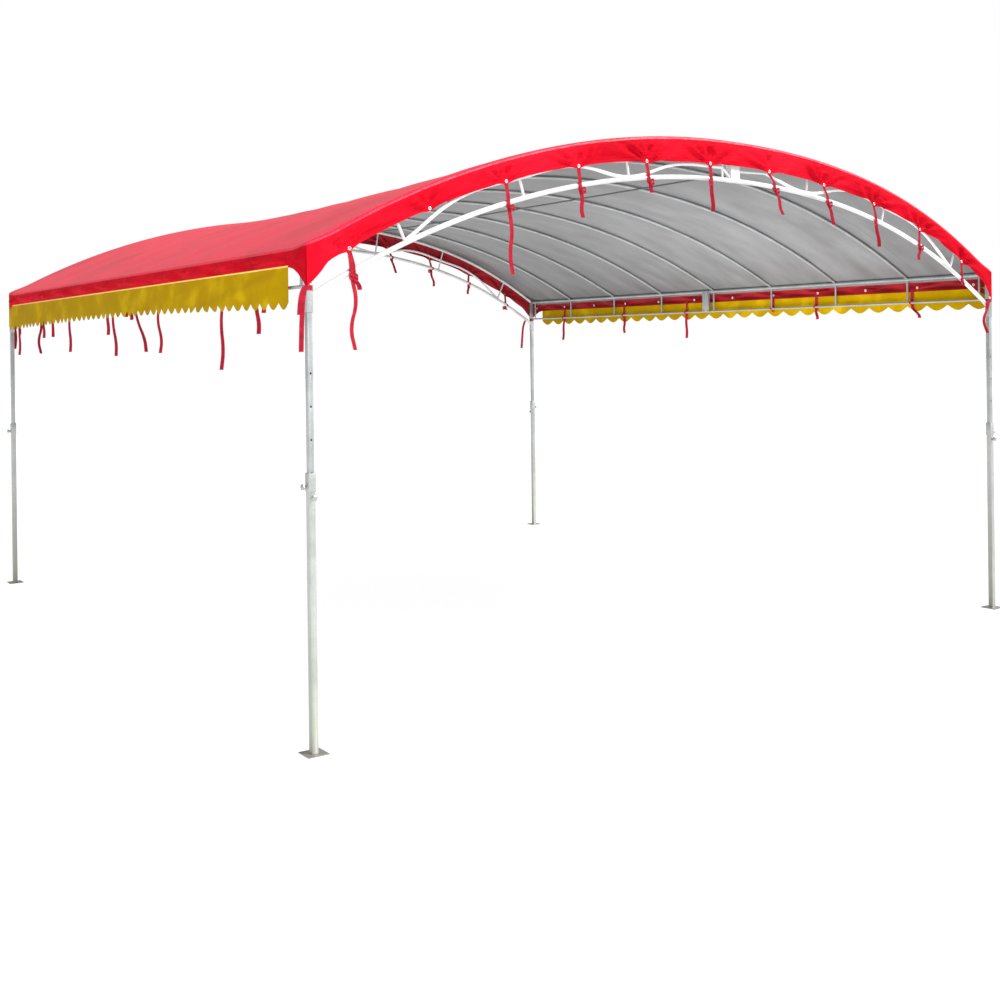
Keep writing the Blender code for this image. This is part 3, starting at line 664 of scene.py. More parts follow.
def bent_bar(name, points, radius):
    """A round bar bent softly through its points, as a mesh."""
    curve = bpy.data.curves.new(name, "CURVE")
    curve.dimensions = "3D"
    curve.bevel_depth = radius
    curve.bevel_resolution = 3
    curve.resolution_u = 8
    curve.use_fill_caps = True
    spline = curve.splines.new("BEZIER")
    spline.bezier_points.add(len(points) - 1)
    for handle, place in zip(spline.bezier_points, points):
        handle.co = place
        handle.handle_left_type = "AUTO"
        handle.handle_right_type = "AUTO"
    made = bpy.data.objects.new(name, curve)
    bpy.context.scene.collection.objects.link(made)
    only(made)
    bpy.ops.object.convert(target="MESH")
    return bpy.context.object


print("web points per arch:", 2 * WEB_REACH + 1)

# %% [markdown]
# The chords run a little past the corner socket's face and are then cut upright there with the
# bisect tool, because a tube that arrives at a slope has to be sawn at an angle to fit a flat face.
# Small rings stand for the weld beads round each upright. The half is built on round arcs, which is
# easy to measure, and every point is then raised to the fuller bend at the end.

# %% Make the two halves of one arch
BEAD_R = 0.0024


def arch_half(name, side, y):
    piece = start_piece(name)
    joint_x = JOINT_X + side * JOINT_GAP / 2
    end_x = side * (FOOT_X + CHORD_OVERRUN)
    for arc in (TOP_ARC, LOWER_ARC):
        add_swept_tube(arc.radius, arc.centre_z, joint_x, end_x, y, TUBE_R, 20, 40)
    bpy.ops.mesh.select_all(action="SELECT")
    bpy.ops.mesh.remove_doubles(threshold=0.00002)
    bpy.ops.mesh.bisect(
        plane_co=(side * FOOT_X, y, 0), plane_no=(side, 0, 0), use_fill=True, clear_outer=True, threshold=0.00001
    )
    nodes = [node for node in range(-WEB_REACH, WEB_REACH + 1) if (web_foot(node, y).x - JOINT_X) * side > 0]
    for node in nodes:
        if node % 2 == 0:
            foot = web_foot(node, y)
            head = web_head(node, y)
            along = (head - foot).normalized()
            add_bar(foot, head, WEB_R, 12)
            add_ring(foot + along * TUBE_R, along, WEB_R + 0.0010, BEAD_R, 14, 6)
            add_ring(head - along * TUBE_R, along, WEB_R + 0.0010, BEAD_R, 14, 6)
    middle_x = joint_x + side * END_BAR_HALF
    add_block(
        (middle_x - END_BAR_HALF, y - TUBE_R * 0.96, LOWER_ARC.z_at(JOINT_X) - TUBE_R * 0.5),
        (middle_x + END_BAR_HALF, y + TUBE_R * 0.96, TOP_ARC.z_at(JOINT_X)),
        0.0015,
    )
    nearest = wave_point(nodes[0] if side > 0 else nodes[-1], y)
    meet_z = nearest.z if side > 0 else LOWER_ARC.z_at(JOINT_X)
    add_bar(nearest, (middle_x, y, meet_z), WEB_R, 12)
    close_piece(piece, PAINT)
    wave = bent_bar(name + "_wave", [wave_point(node, y) for node in nodes], WAVE_R)
    only(piece, wave)
    bpy.ops.object.join()
    bpy.ops.object.mode_set(mode="EDIT")
    close_piece(piece, weld=True)
    points = read_points(piece)
    points[:, 2] += shoulder_lift(points[:, 0])
    write_points(piece, points)
    return piece


for side_name, side in (("left", -1), ("right", 1)):
    half = arch_half(f"front_arch_{side_name}_tubes", side, -POST_Y)
    keep(half, ROOF, "white_paint", f"front_arch_{side_name}")
    twin = copy_piece(half, f"back_arch_{side_name}_tubes", move=(0, 2 * POST_Y, 0))
    keep(twin, ROOF, "white_paint", f"back_arch_{side_name}")
    print(half.name, len(half.data.polygons), "faces")

# %% [markdown]
# Two bolted plates hold the halves of each arch together at the crown. The plate is a block with
# eased edges and a hexagon head and washer at each corner. Each gable's plate is modelled on its
# own node.

# %% Crown hinge plates
BOLT_R = 0.006
WASHER_R = 0.009


def add_bolt(place, outward, radius=BOLT_R, washer=WASHER_R):
    """A washer with a hexagon head on it."""
    place = Vector(place)
    outward = Vector(outward)
    add_bar(place - outward * 0.0005, place + outward * 0.0014, washer, 20)
    add_bar(place, place + outward * 0.0060, radius, 6)


def crown_plate(name, node, outward):
    low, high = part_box(node)
    piece = start_piece(name)
    add_block(low, high, 0.0012)
    inner_y = low.y if outward < 0 else high.y
    for x in (low.x + 0.016, high.x - 0.016):
        for z in (low.z + 0.022, high.z - 0.018):
            add_bolt((x, inner_y, z), (0, outward, 0))
    return close_piece(piece, PAINT)


for end, outward in (("front", 1), ("back", -1)):
    plate = crown_plate(f"{end}_crown_plate", f"{end}_crown_hinge_plate", outward)
    keep(plate, ROOF, "white_paint", f"{end}_crown_hinge_plate")
    print(plate.name, "with 4 bolts")

# %% [markdown]
# Seven bent tubes carry the cover between the gables. Each has its own arc, because the crowns sink
# towards the middle of the ridge, but those at the same distance from the middle are alike. So four
# are spun, and three are copies moved along the ridge.

# %% Rafters
RAFTER_R = 0.0095
RAFTER_END_X = POST_X - TUBE_R - JOINT_GAP
RAIL_Z = 2.1585


def rafter_tube(name, y):
    arc = Arc(EAVE_Z, CROWN_Z - float(crown_dip(y)))
    piece = start_piece(name)
    end_x = RAFTER_END_X + CHORD_OVERRUN
    add_swept_tube(arc.radius + TUBE_R - RAFTER_R, arc.centre_z, -end_x, end_x, y, RAFTER_R, 16, 64)
    for side in (-1, 1):
        bpy.ops.mesh.select_all(action="SELECT")
        bpy.ops.mesh.remove_doubles(threshold=0.00002)
        bpy.ops.mesh.bisect(
            plane_co=(side * RAFTER_END_X, y, 0), plane_no=(side, 0, 0), use_fill=True, clear_outer=True
        )
    return close_piece(piece, ZINC)


for number, y in enumerate(RAFTER_PLACES, start=1):
    if y <= 0:
        rafter = rafter_tube(f"rafter_{number}_tube", y)
    else:
        like = bpy.data.objects[f"rafter_{RAFTER_BAYS - number}_tube"]
        rafter = copy_piece(like, f"rafter_{number}_tube", move=(0, 2 * y, 0))
    keep(rafter, ROOF, "galvanised_steel", f"rafter_{number}")
print("rafters:", len(RAFTER_PLACES), "faces each:", len(rafter.data.polygons))

# %% [markdown]
# An eave beam is a small ladder: a stout rail on top, a thin one below it and a stud under each
# rafter. It folds near the middle too. Each of its four pieces is read back from its frame node's
# box, so the joint and the ends fall where the frame has them.

# %% Eave beams
LOWER_RAIL_R = 0.008
LOWER_RAIL_Z = 1.998
END_STUD_INSET = 0.050


def eave_beam(name, node, side, end):
    low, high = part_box(node)
    piece = start_piece(name)
    x = side * POST_X
    add_bar((x, low.y, RAIL_Z), (x, high.y, RAIL_Z), TUBE_R, 20)
    add_bar((x, low.y, LOWER_RAIL_Z), (x, high.y, LOWER_RAIL_Z), LOWER_RAIL_R, 16)
    studs = [y for y in RAFTER_PLACES if low.y < y < high.y]
    studs.append(low.y + END_STUD_INSET if end < 0 else high.y - END_STUD_INSET)
    for y in studs:
        add_bar((x, y, LOWER_RAIL_Z), (x, y, RAIL_Z), WEB_R, 12)
        add_ring((x, y, LOWER_RAIL_Z + LOWER_RAIL_R), (0, 0, 1), WEB_R + 0.001, BEAD_R, 14, 6)
    joint_y = low.y if end > 0 else high.y
    near = min(joint_y, joint_y + end * 2 * END_BAR_HALF)
    add_block(
        (x - LOWER_RAIL_R * 0.5, near, LOWER_RAIL_Z - LOWER_RAIL_R * 0.5),
        (x + LOWER_RAIL_R * 0.5, near + 2 * END_BAR_HALF, RAIL_Z),
    )
    return close_piece(piece, ZINC, weld=True)


for side_name, side in (("left", -1), ("right", 1)):
    for end_name, end in (("front", -1), ("back", 1)):
        node = f"{side_name}_eave_beam_{end_name}"
        beam = eave_beam(node + "_rails", node, side, end)
        keep(beam, ROOF, "galvanised_steel", node)
        print(beam.name, len(beam.data.polygons), "faces")

# %% [markdown]
# The plate that joins the two halves of an eave beam, and the slim rod under the ridge, are simple
# shapes with bolts and beads that the frame leaves out. Both are read from their nodes' boxes.

# %% Eave hinge plates and ridge tie


def eave_plate(name, node, side):
    low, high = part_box(node)
    piece = start_piece(name)
    add_block(low, high, 0.0012)
    inner_x = high.x if side < 0 else low.x
    for y in (low.y + 0.014, high.y - 0.014):
        for z in (low.z + 0.016, high.z - 0.018):
            add_bolt((inner_x, y, z), (-side, 0, 0))
    return close_piece(piece, ZINC)


for side_name, side in (("left", -1), ("right", 1)):
    node = f"{side_name}_eave_hinge_plate"
    keep(eave_plate(node + "_bolted", node, side), ROOF, "galvanised_steel", node)

tie_low, tie_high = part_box("ridge_tie")
tie_middle = (tie_low + tie_high) / 2
tie = start_piece("ridge_tie_rod")
add_bar((tie_middle.x, tie_low.y, tie_middle.z), (tie_middle.x, tie_high.y, tie_middle.z), 0.005, 16)
for y in (tie_low.y + 0.002, tie_high.y - 0.002):
    add_ring((tie_middle.x, y, tie_middle.z), (0, 1, 0), 0.0060, BEAD_R, 14, 6)
# The dark zinc here is painted shade.
close_piece(tie, SHADED_TIE_ZINC)
keep(tie, ROOF, "galvanised_steel", "ridge_tie")
print("ridge tie length", round(tie_high.y - tie_low.y, 2))

# %% [markdown]
# Legs and sockets are rolled square tube, whose corners are rounded to about the wall's thickness.
# The frame's nodes have the right shape with sharp edges, so each is copied, its loose triangles are
# merged back into flat faces, and a bevel modifier that only acts on real edges rounds them over.

# %% Legs, sockets and knobs with rounded edges


def rounded_copy(node, finish, edge, body, slot):
    source = frame["nodes"][node]
    piece = bpy.data.objects.new(node + "_rounded", source.data.copy())
    bpy.context.scene.collection.objects.link(piece)
    piece.data.materials.clear()
    only(piece)
    bpy.ops.object.mode_set(mode="EDIT")
    bpy.ops.mesh.select_all(action="SELECT")
    bpy.ops.mesh.remove_doubles(threshold=0.00003)
    bpy.ops.mesh.dissolve_limited(angle_limit=math.radians(1))
    bpy.ops.object.mode_set(mode="OBJECT")
    bpy.ops.object.modifier_add(type="BEVEL")
    bevel = piece.modifiers[-1]
    bevel.width = edge
    bevel.segments = 2
    bevel.limit_method = "ANGLE"
    bevel.angle_limit = math.radians(50)
    bpy.ops.object.modifier_apply(modifier=bevel.name)
    piece.data.materials.append(finish)
    bpy.ops.object.shade_smooth_by_angle(angle=math.radians(50))
    return keep(piece, body, slot, node)


CORNERS = [(end, side) for end in ("front", "back") for side in ("left", "right")]
for end, side in CORNERS:
    place = f"{end}_{side}"
    rounded_copy(f"corner_socket_{place}", ZINC, 0.0018, ROOF, "galvanised_steel")
    rounded_copy(f"upper_leg_{place}", ZINC, 0.0010, ROOF, "galvanised_steel")
    rounded_copy(f"lower_leg_{place}", LEG_ZINC, 0.0014, f"leg_{place}", "galvanised_steel")
    rounded_copy(f"side_clamp_{place}", DARK_ZINC, 0.0006, f"side_screw_{place}", "screw_plate")
    rounded_copy(f"end_clamp_{place}", DARK_ZINC, 0.0006, f"end_screw_{place}", "screw_plate")
print("rounded pieces:", 5 * len(CORNERS))

# %% [markdown]
# The cover is one sheet: the roof, a band down each eave and a flap down each gable all hang
# together round the edge of the frame. It is drawn flat first, as a grid with one unit to a cell,
# and the skirts are extruded from the grid's outline, one unit down for each ring. That flat
# pattern only counts cells, and the drape after it gives every cell its real place.

# %% Lines of the cover's grid
CLOTH_T = 0.0012
SHEET_LIFT = TUBE_R + 0.0023
SHEET_R = TOP_ARC.radius + SHEET_LIFT
BAND_X = POST_X + 0.0175
FLAP_Y = POST_Y + 0.0175
BEND_R = 0.016
BEND_RINGS = 4
LINING_EDGE_Z = 2.134
SKIRT_RINGS = 12
CORNER_R = 0.006
CORNER_FADE = 0.05
COLUMN_STEP = 0.0175
ROW_STEP = 0.042
EAVE_SLOPE = math.asin(BAND_X / SHEET_R)
ROOF_X = BAND_X - BEND_R * (1 - math.sin(EAVE_SLOPE))
ROOF_Y = FLAP_Y - BEND_R
FINE_LINES = np.array([0.0, 0.003, 0.006, 0.012, 0.022])


def grid_lines(half, step):
    """Places of the grid's lines: close together near both ends and even in between."""
    inner = half - FINE_LINES[-1]
    middle = np.linspace(-inner, inner, round(2 * inner / step) + 1)
    return np.concatenate([-half + FINE_LINES[:-1], middle, (half - FINE_LINES[:-1])[::-1]])


def add_flat_grid(columns, rows, layer=0):
    """A flat grid of square cells, one unit each, as the pattern of a sheet."""
    middle = (columns / 2, rows / 2, layer)
    clear_selection()
    bpy.ops.mesh.primitive_grid_add(x_subdivisions=columns, y_subdivisions=rows, size=1, location=middle)
    bpy.ops.transform.resize(value=(columns, rows, 1), center_override=middle)


def write_map(piece, flat):
    """Gives each point its place on the flat cloth, in metres, as the piece's UV map."""
    corners = np.empty(len(piece.data.loops), dtype=np.int32)
    piece.data.loops.foreach_get("vertex_index", corners)
    if not piece.data.uv_layers:
        piece.data.uv_layers.new(name="cloth")
    piece.data.uv_layers[0].data.foreach_set("uv", flat[corners].ravel())


def write_hem(piece, distance):
    layer = piece.data.attributes.new("hem", "FLOAT", "POINT")
    layer.data.foreach_set("value", np.asarray(distance, dtype=np.float32))


COLUMNS = grid_lines(ROOF_X, COLUMN_STEP)
ROWS = grid_lines(ROOF_Y, ROW_STEP)
print("cover grid:", len(COLUMNS), "by", len(ROWS), "lines")

# %% [markdown]
# Cloth that is laced at points hangs between them in a fan of small folds: each eyelet is pulled in
# and the creases run out from it like rays. Every skirt has its row of eyelets at an even pitch, and
# the relief adds up, for each eyelet, a few rays that grow with the distance from it and fade out
# half way to the next. The counts and turns differ from eyelet to eyelet, as by hand.

# %% Eyelets and the folds that they make
EYELET_PITCH = 0.452
FLAP_MIDDLE_X = -0.062
FLAP_EYELETS = 11
BAND_PITCH = 0.4375
BAND_FIRST_Y = -2.382
BAND_EYELETS = 12
BAND_EYELET_RISE = 0.028
TAB_EYELET_X = 2.422
TAB_EYELET_Z = 2.010
TAB_TIP_Z = 1.992
FLAP_TAB_WIDTH = 0.110
BAND_TAB_WIDTH = 0.160
BAND_BOTTOM_Z = 2.072
LEFT_BAND_MIDDLE_Z = 2.081
LEFT_BAND_FALL = 0.010
LEFT_HEM_BOW = 0.019
BOW_END_X = -0.33
HEM_DIP = 0.013
FOLD_DEPTH = 0.022
BULGE_DEPTH = 0.0060
BAND_FOLDS = 0.7
FLAP_FADE = 0.30
BAND_FADE = 0.40
SLANT_DEPTH = 0.0085
SLANT_PITCH = 0.46
SLANT_RISE = 0.15


def flap_hem_z(x):
    """The flap's hem, which follows the arch's fuller half and bows up a little on the other."""
    share = np.clip((np.asarray(x) + POST_X) / (BOW_END_X + POST_X), 0, 1)
    return FLAP_ARC.z_at(x) + shoulder_lift(x) + LEFT_HEM_BOW * np.sin(math.pi * share)


def band_bottom_z(y, side):
    """The hem of an eave band. The left one slopes down towards the back."""
    left = LEFT_BAND_MIDDLE_Z - LEFT_BAND_FALL * np.asarray(y) / (2 * POST_Y)
    return np.where(np.asarray(side) > 0, BAND_BOTTOM_Z, left)


def flap_eyelet_places():
    """X and Z of the eyelets along a flap, in order."""
    middle = FLAP_ARC.angle_at(FLAP_MIDDLE_X)
    step = EYELET_PITCH / FLAP_ARC.radius
    offsets = [index - FLAP_EYELETS // 2 for index in range(FLAP_EYELETS)]
    along = [FLAP_ARC.radius * math.sin(middle + step * offset) for offset in offsets]
    return [(x, float(flap_hem_z(x))) for x in along]


def band_eyelet_places(side):
    """Y and Z of the eyelets along an eave band, in order."""
    along = [BAND_FIRST_Y + BAND_PITCH * index for index in range(BAND_EYELETS)]
    return [(y, float(band_bottom_z(y, side)) + BAND_EYELET_RISE) for y in along]


FLAP_PLACES = flap_eyelet_places()
BAND_PLACES = {side: band_eyelet_places(side) for side in (-1, 1)}


def smooth_step(value):
    value = np.clip(value, 0, 1)
    return value * value * (3 - 2 * value)


def fan_folds(along, height, places, pitch, seed):
    """Outward relief of a laced skirt at points given along it and by height."""
    chance = np.random.default_rng(seed)
    relief = np.zeros_like(along)
    for place, level_z in places:
        rays = chance.uniform(4.5, 6.5)
        turn_by = chance.uniform(0, math.pi)
        strength = chance.uniform(0.75, 1.25)
        lean = chance.uniform(-0.5, 0.5)
        side_way = along - place
        rise = height - level_z
        reach = np.hypot(side_way, rise)
        angle = np.arctan2(side_way, rise + 0.012) + lean * rise / 0.1
        near = smooth_step((reach - 0.008) / 0.045)
        far = smooth_step(1.15 - np.abs(side_way) / (pitch * 0.62))
        ridge = 1 - np.abs(np.sin(rays * angle + turn_by))
        fine = 0.25 * np.cos(3 * rays * angle + turn_by * 1.7)
        relief += strength * FOLD_DEPTH * near * far * (ridge + fine)
    nearest = np.min([np.abs(along - place) for place, _ in places], axis=0)
    relief += BULGE_DEPTH * smooth_step(nearest / (pitch / 2))
    return relief


def hem_dips(along, places):
    """How far the hem is drawn down round each eyelet."""
    return sum(HEM_DIP * np.exp(-(((along - place) / 0.034) ** 2)) for place, _ in places)


def tab_drop(distance, width):
    """The hem's drop towards the pointed tab at a corner, from 0 to 1."""
    return np.clip(1 - distance / width, 0, 1) ** 1.6


print("flap eyelets:", len(FLAP_PLACES), "band eyelets:", len(BAND_PLACES[1]))

# %% [markdown]
# The drape takes each cell count to its place. Roof cells go onto the arc, with a shallow sag
# between rafters and long slack wrinkles. The first rings roll over the edge tubes on a small
# radius: at the gables they turn through a right angle, and at the eaves only from the roof's slope
# to upright. The other rings spread evenly down to the hem, and the folds push them outward.

# %% The roof's own surface
SAG = 0.006
WRINKLES = (
    (0.0016, 0.62, 1.9, 0.4),
    (0.0013, -0.85, 2.9, 2.1),
    (0.0010, 1.25, 4.1, 4.4),
    (0.0008, -0.30, 5.3, 1.3),
)
CORNER_PEAK = 0.014
PEAK_REACH = 0.07


def roof_relief(x, y):
    """Height that the roof cloth lacks or adds: sag between tubes, and slanting slack wrinkles."""
    in_bay = np.sin(math.pi * (y + POST_Y) / BAY)
    relief = -SAG * in_bay**2
    for depth, direction, waves, start in WRINKLES:
        run = x * math.cos(direction) + y * math.sin(direction)
        slow = np.sin(0.9 * x + 1.3 * y + start)
        relief += depth * np.sin(2 * math.pi * waves * run + start + 1.6 * slow) * (0.5 + 0.5 * in_bay**2)
    inside_x = smooth_step((ROOF_X - np.abs(x)) / 0.25)
    inside_y = smooth_step((ROOF_Y - np.abs(y)) / 0.10)
    return relief * inside_x * inside_y


def roof_z(x, y):
    """Height of the taut cloth: straight between the tubes, and pushed up by the post's top at a corner."""
    stations = np.array([-LEVEL_FROM_Y, *RAFTER_PLACES, LEVEL_FROM_Y])
    arc = Arc(EAVE_Z, CROWN_Z - np.interp(y, stations, crown_dip(stations)))
    lifted = np.clip((np.abs(y) - RAFTER_PLACES[-1]) / (LEVEL_FROM_Y - RAFTER_PLACES[-1]), 0, 1)
    from_corner = np.hypot(POST_X - np.abs(x), POST_Y - np.abs(y))
    peak = CORNER_PEAK * np.exp(-((from_corner / PEAK_REACH) ** 2))
    return arc.centre_z + np.sqrt((arc.radius + SHEET_LIFT) ** 2 - x**2) + lifted * shoulder_lift(x) + peak


print("cloth at mid ridge:", round(float(roof_z(0.0, 0.0)), 3))

# %% [markdown]
# Now every point of the flat pattern gets its place. The first rings roll over the edge tube and the
# rest hang. In plan, the corner is drawn onto a small quarter circle, so that flap and band meet in
# a round fold and not in a knife edge.

# %% Drape the cover
ON_EDGE = 1e-6


class Cells:
    """Where each point of the flat pattern belongs: its place on the roof, and its ring on the skirts."""

    def __init__(self, piece):
        cells = np.rint(read_points(piece)).astype(int)
        self.ring = -cells[:, 2]
        self.x = COLUMNS[cells[:, 0]]
        self.y = ROWS[cells[:, 1]]
        self.from_x = ROOF_X - np.abs(self.x)
        self.from_y = ROOF_Y - np.abs(self.y)
        self.on_gable = (self.from_y < ON_EDGE) & (self.ring > 0)
        self.on_eave = (self.from_x < ON_EDGE) & (self.ring > 0)
        self.bend = np.clip(self.ring / BEND_RINGS, 0, 1)
        self.down = np.clip((self.ring - BEND_RINGS) / SKIRT_RINGS, 0, 1)
        self.eave_turn = EAVE_SLOPE + (math.pi / 2 - EAVE_SLOPE) * self.bend
        self.gable_turn = math.pi / 2 * self.bend


def round_corner(plan_x, plan_y, edge_x, edge_y, radius):
    """Draws the points near a plan corner onto a quarter circle."""
    over_x = plan_x - (edge_x - radius)
    over_y = plan_y - (edge_y - radius)
    inside = (over_x > 0) & (over_y > 0)
    length = np.hypot(over_x, over_y)
    scale = np.where(inside & (length > 0), np.maximum(over_x, over_y) / np.maximum(length, 1e-9), 1)
    new_x = np.where(inside, edge_x - radius + over_x * scale, plan_x)
    new_y = np.where(inside, edge_y - radius + over_y * scale, plan_y)
    return new_x, new_y


def rolled_plan(cells):
    """Distances from the middle lines after the rings have rolled over the edge tubes."""
    eave_out = BEND_R * (np.sin(cells.eave_turn) - math.sin(EAVE_SLOPE))
    gable_out = BEND_R * np.sin(cells.gable_turn)
    plan_x = np.abs(cells.x) + eave_out * np.clip(1 - cells.from_x / CORNER_FADE, 0, 1)
    plan_y = np.abs(cells.y) + gable_out * np.clip(1 - cells.from_y / CORNER_FADE, 0, 1)
    radius = CORNER_R * cells.bend + ON_EDGE
    return round_corner(plan_x, plan_y, ROOF_X + eave_out, ROOF_Y + gable_out, radius)


def rolled_drop(cells):
    """How far the rings have dropped in rolling over. At a corner the two edges share it."""
    slope = np.arcsin(np.abs(cells.x) / SHEET_R)
    eave_drop = BEND_R * (math.cos(EAVE_SLOPE) - np.cos(cells.eave_turn))
    gable_drop = BEND_R * (1 - np.cos(cells.gable_turn)) / np.cos(slope)
    toward_gable = 0.5 + 0.5 * smooth_step(cells.from_x / 0.03)
    toward_eave = 0.5 - 0.5 * smooth_step(cells.from_y / 0.03)
    gable_part = np.where(cells.on_gable, toward_gable, toward_eave)
    return np.where(cells.ring > 0, eave_drop + (gable_drop - eave_drop) * gable_part, 0)


def skirt_hem(cells, plan_x, plan_y):
    """Height of the hem that each skirt point hangs towards."""
    x = np.sign(cells.x) * plan_x
    gable_hem = flap_hem_z(x) - hem_dips(x, FLAP_PLACES)
    gable_hem -= tab_drop(BAND_X - plan_x, FLAP_TAB_WIDTH) * (gable_hem - TAB_TIP_Z)
    eave_hem = band_bottom_z(np.sign(cells.y) * plan_y, cells.x)
    eave_hem = eave_hem - tab_drop(FLAP_Y - plan_y, BAND_TAB_WIDTH) * (eave_hem - TAB_TIP_Z)
    return np.where(cells.on_gable, gable_hem, eave_hem)


def skirt_relief(cells, x, y, z):
    """Outward push of the gable flaps and the eave bands, which is nought at the bend."""
    relief = np.zeros_like(x)
    for sign, seed in ((-1, 11), (1, 23)):
        here = cells.on_gable & (np.sign(y) == sign)
        relief[here] = fan_folds(x[here], z[here], FLAP_PLACES, EYELET_PITCH, seed)
        here = cells.on_eave & ~cells.on_gable & (np.sign(x) == sign)
        relief[here] = fan_folds(y[here], z[here], BAND_PLACES[sign], BAND_PITCH, seed + 5) * BAND_FOLDS
        slant = np.sin(2 * math.pi * (y[here] / SLANT_PITCH - z[here] / SLANT_RISE))
        relief[here] += SLANT_DEPTH * (1 + slant)
    corner_fade = smooth_step((np.maximum(cells.from_x, cells.from_y) - 0.004) / 0.05)
    start = np.where(cells.on_gable, FLAP_FADE, BAND_FADE)
    relief = np.maximum(relief, 0) * smooth_step(cells.down / start) * corner_fade
    relief *= np.where(cells.on_gable, 1, smooth_step((1 - cells.down) / BAND_FADE))
    return np.where(cells.ring > BEND_RINGS, relief, 0)


def drape(piece, cells):
    """Moves every point to its place on the frame, and lays out the map of the flat cloth."""
    plan_x, plan_y = rolled_plan(cells)
    top_z = roof_z(cells.x, cells.y) - rolled_drop(cells)
    hem_z = skirt_hem(cells, plan_x, plan_y)
    z = np.where(cells.ring > BEND_RINGS, top_z + (hem_z - top_z) * cells.down, top_z)
    push = skirt_relief(cells, np.sign(cells.x) * plan_x, np.sign(cells.y) * plan_y, z)
    plan_x = plan_x + np.where(cells.on_eave & ~cells.on_gable, push, 0)
    plan_y = plan_y + np.where(cells.on_gable & ~cells.on_eave, push, 0)
    z = z + np.where(cells.ring == 0, roof_relief(cells.x, cells.y), 0)
    write_points(piece, np.stack([np.sign(cells.x) * plan_x, np.sign(cells.y) * plan_y, z], axis=1))
    hung = BEND_R * cells.gable_turn + np.where(cells.ring > BEND_RINGS, top_z - z, 0)
    flat_x = SHEET_R * np.arcsin(np.abs(cells.x) / SHEET_R) + np.where(cells.on_eave, hung, 0)
    flat_y = np.abs(cells.y) + np.where(cells.on_gable, hung, 0)
    write_map(piece, np.stack([np.sign(cells.x) * flat_x, np.sign(cells.y) * flat_y], axis=1))
    write_hem(piece, np.where(cells.ring > 0, (1 - cells.down) * (top_z - hem_z), 1.0))


def make_cover():
    piece = start_piece("laced_cover")
    add_flat_grid(len(COLUMNS) - 1, len(ROWS) - 1)
    bpy.ops.mesh.select_all(action="SELECT")
    bpy.ops.mesh.region_to_loop()
    for _ in range(BEND_RINGS + SKIRT_RINGS):
        bpy.ops.mesh.extrude_region_move(TRANSFORM_OT_translate={"value": (0, 0, -1)})
    bpy.ops.object.mode_set(mode="OBJECT")
    cells = Cells(piece)
    drape(piece, cells)
    unlined = cells.on_gable | (read_points(piece)[:, 2] < LINING_EDGE_Z)
    return piece, cells.ring, np.where(unlined, cells.ring, 0)


cover, cover_rings, unlined_rings = make_cover()
print("cover points:", len(cover.data.vertices))

# %% [markdown]
# The sheet still has no thickness. The roof cells get the roof's finish and the skirts their own,
# and then Solidify gives the cloth its 1.2 mm inward. Its material offset turns each finish into
# the next one on the list for the new inner side. The roof is silver within, and so is the upper part
# of the eave bands. The rest of the skirts is red on both sides.

# %% Give the cover its thickness and finishes


def thicken(piece, thickness, offset=-1.0, material_offset=0):
    only(piece)
    bpy.ops.object.modifier_add(type="SOLIDIFY")
    wall = piece.modifiers[-1]
    wall.thickness = thickness
    wall.offset = offset
    wall.material_offset = material_offset
    bpy.ops.object.modifier_apply(modifier=wall.name)
    bpy.ops.object.shade_smooth_by_angle(angle=math.radians(60))


def face_rings(piece, rings):
    """The outermost ring that each four-sided face touches."""
    corners = np.empty(len(piece.data.loops), dtype=np.int32)
    piece.data.loops.foreach_get("vertex_index", corners)
    return rings[corners].reshape(-1, 4).max(axis=1)


# The last finish is the skirts' back, the red painted darker as painted shade.
for finish in (ROOF_RED, LINING, SKIRT_RED, LINING, SKIRT_RED, SHADED_SKIRT_BACK):
    cover.data.materials.append(finish)
skirt_faces = face_rings(cover, cover_rings) > BEND_RINGS
unlined_faces = face_rings(cover, unlined_rings) > BEND_RINGS
finish_numbers = 2 * skirt_faces.astype(np.int32) + 2 * unlined_faces.astype(np.int32)
cover.data.polygons.foreach_set("material_index", finish_numbers)
thicken(cover, CLOTH_T, material_offset=1)
keep(cover, ROOF, "red_cover_cloth", "roof_cover", "front_gable_flap", "back_gable_flap")

print("cover faces:", len(cover.data.polygons))

# %% [markdown]
# A valance is a strip of yellow cloth with round scallops along its free edge, sewn to the outside of
# the eave band under a tape painted bright, partly as painted highlight. It is a grid again. Its lower
# edge is moved to the scallops, and the rows between share the height. Hung from a straight seam, it ripples more
# towards its hem.

# %% Make the valances
SCALLOP_PITCH = {-1: 0.097, 1: 0.161}
SCALLOP_COLUMNS = 12
VALANCE_ROWS = 10
VALANCE_LIFT = 0.0016
VALANCE_LAP = 0.008
RIGHT_VALLEY_Z = 1.975
LEFT_VALLEY_END_Z = 1.930
LEFT_VALLEY_BOW = 0.030
SCALLOP_DEPTH = {-1: 0.031, 1: 0.037}
SCALLOP_SHARPNESS = 1.1
DRAG_DEPTH = 0.010
DRAG_START_Y = -2.50
DRAG_RUN = 7.0
DRAG_WIDTH = 0.16
RIPPLES = (
    (0.0030, 1.10, 0.7, 5.5),
    (0.0022, 2.30, 2.9, -4.0),
    (0.0010, 4.30, 1.2, 9.0),
)


def valley_z(y, side):
    """The height of a valance's hem between its scallops. The left one bows up towards the middle."""
    bow = LEFT_VALLEY_END_Z + LEFT_VALLEY_BOW * np.cos(math.pi * np.asarray(y) / (2 * POST_Y))
    return np.where(np.asarray(side) > 0, RIGHT_VALLEY_Z, bow)


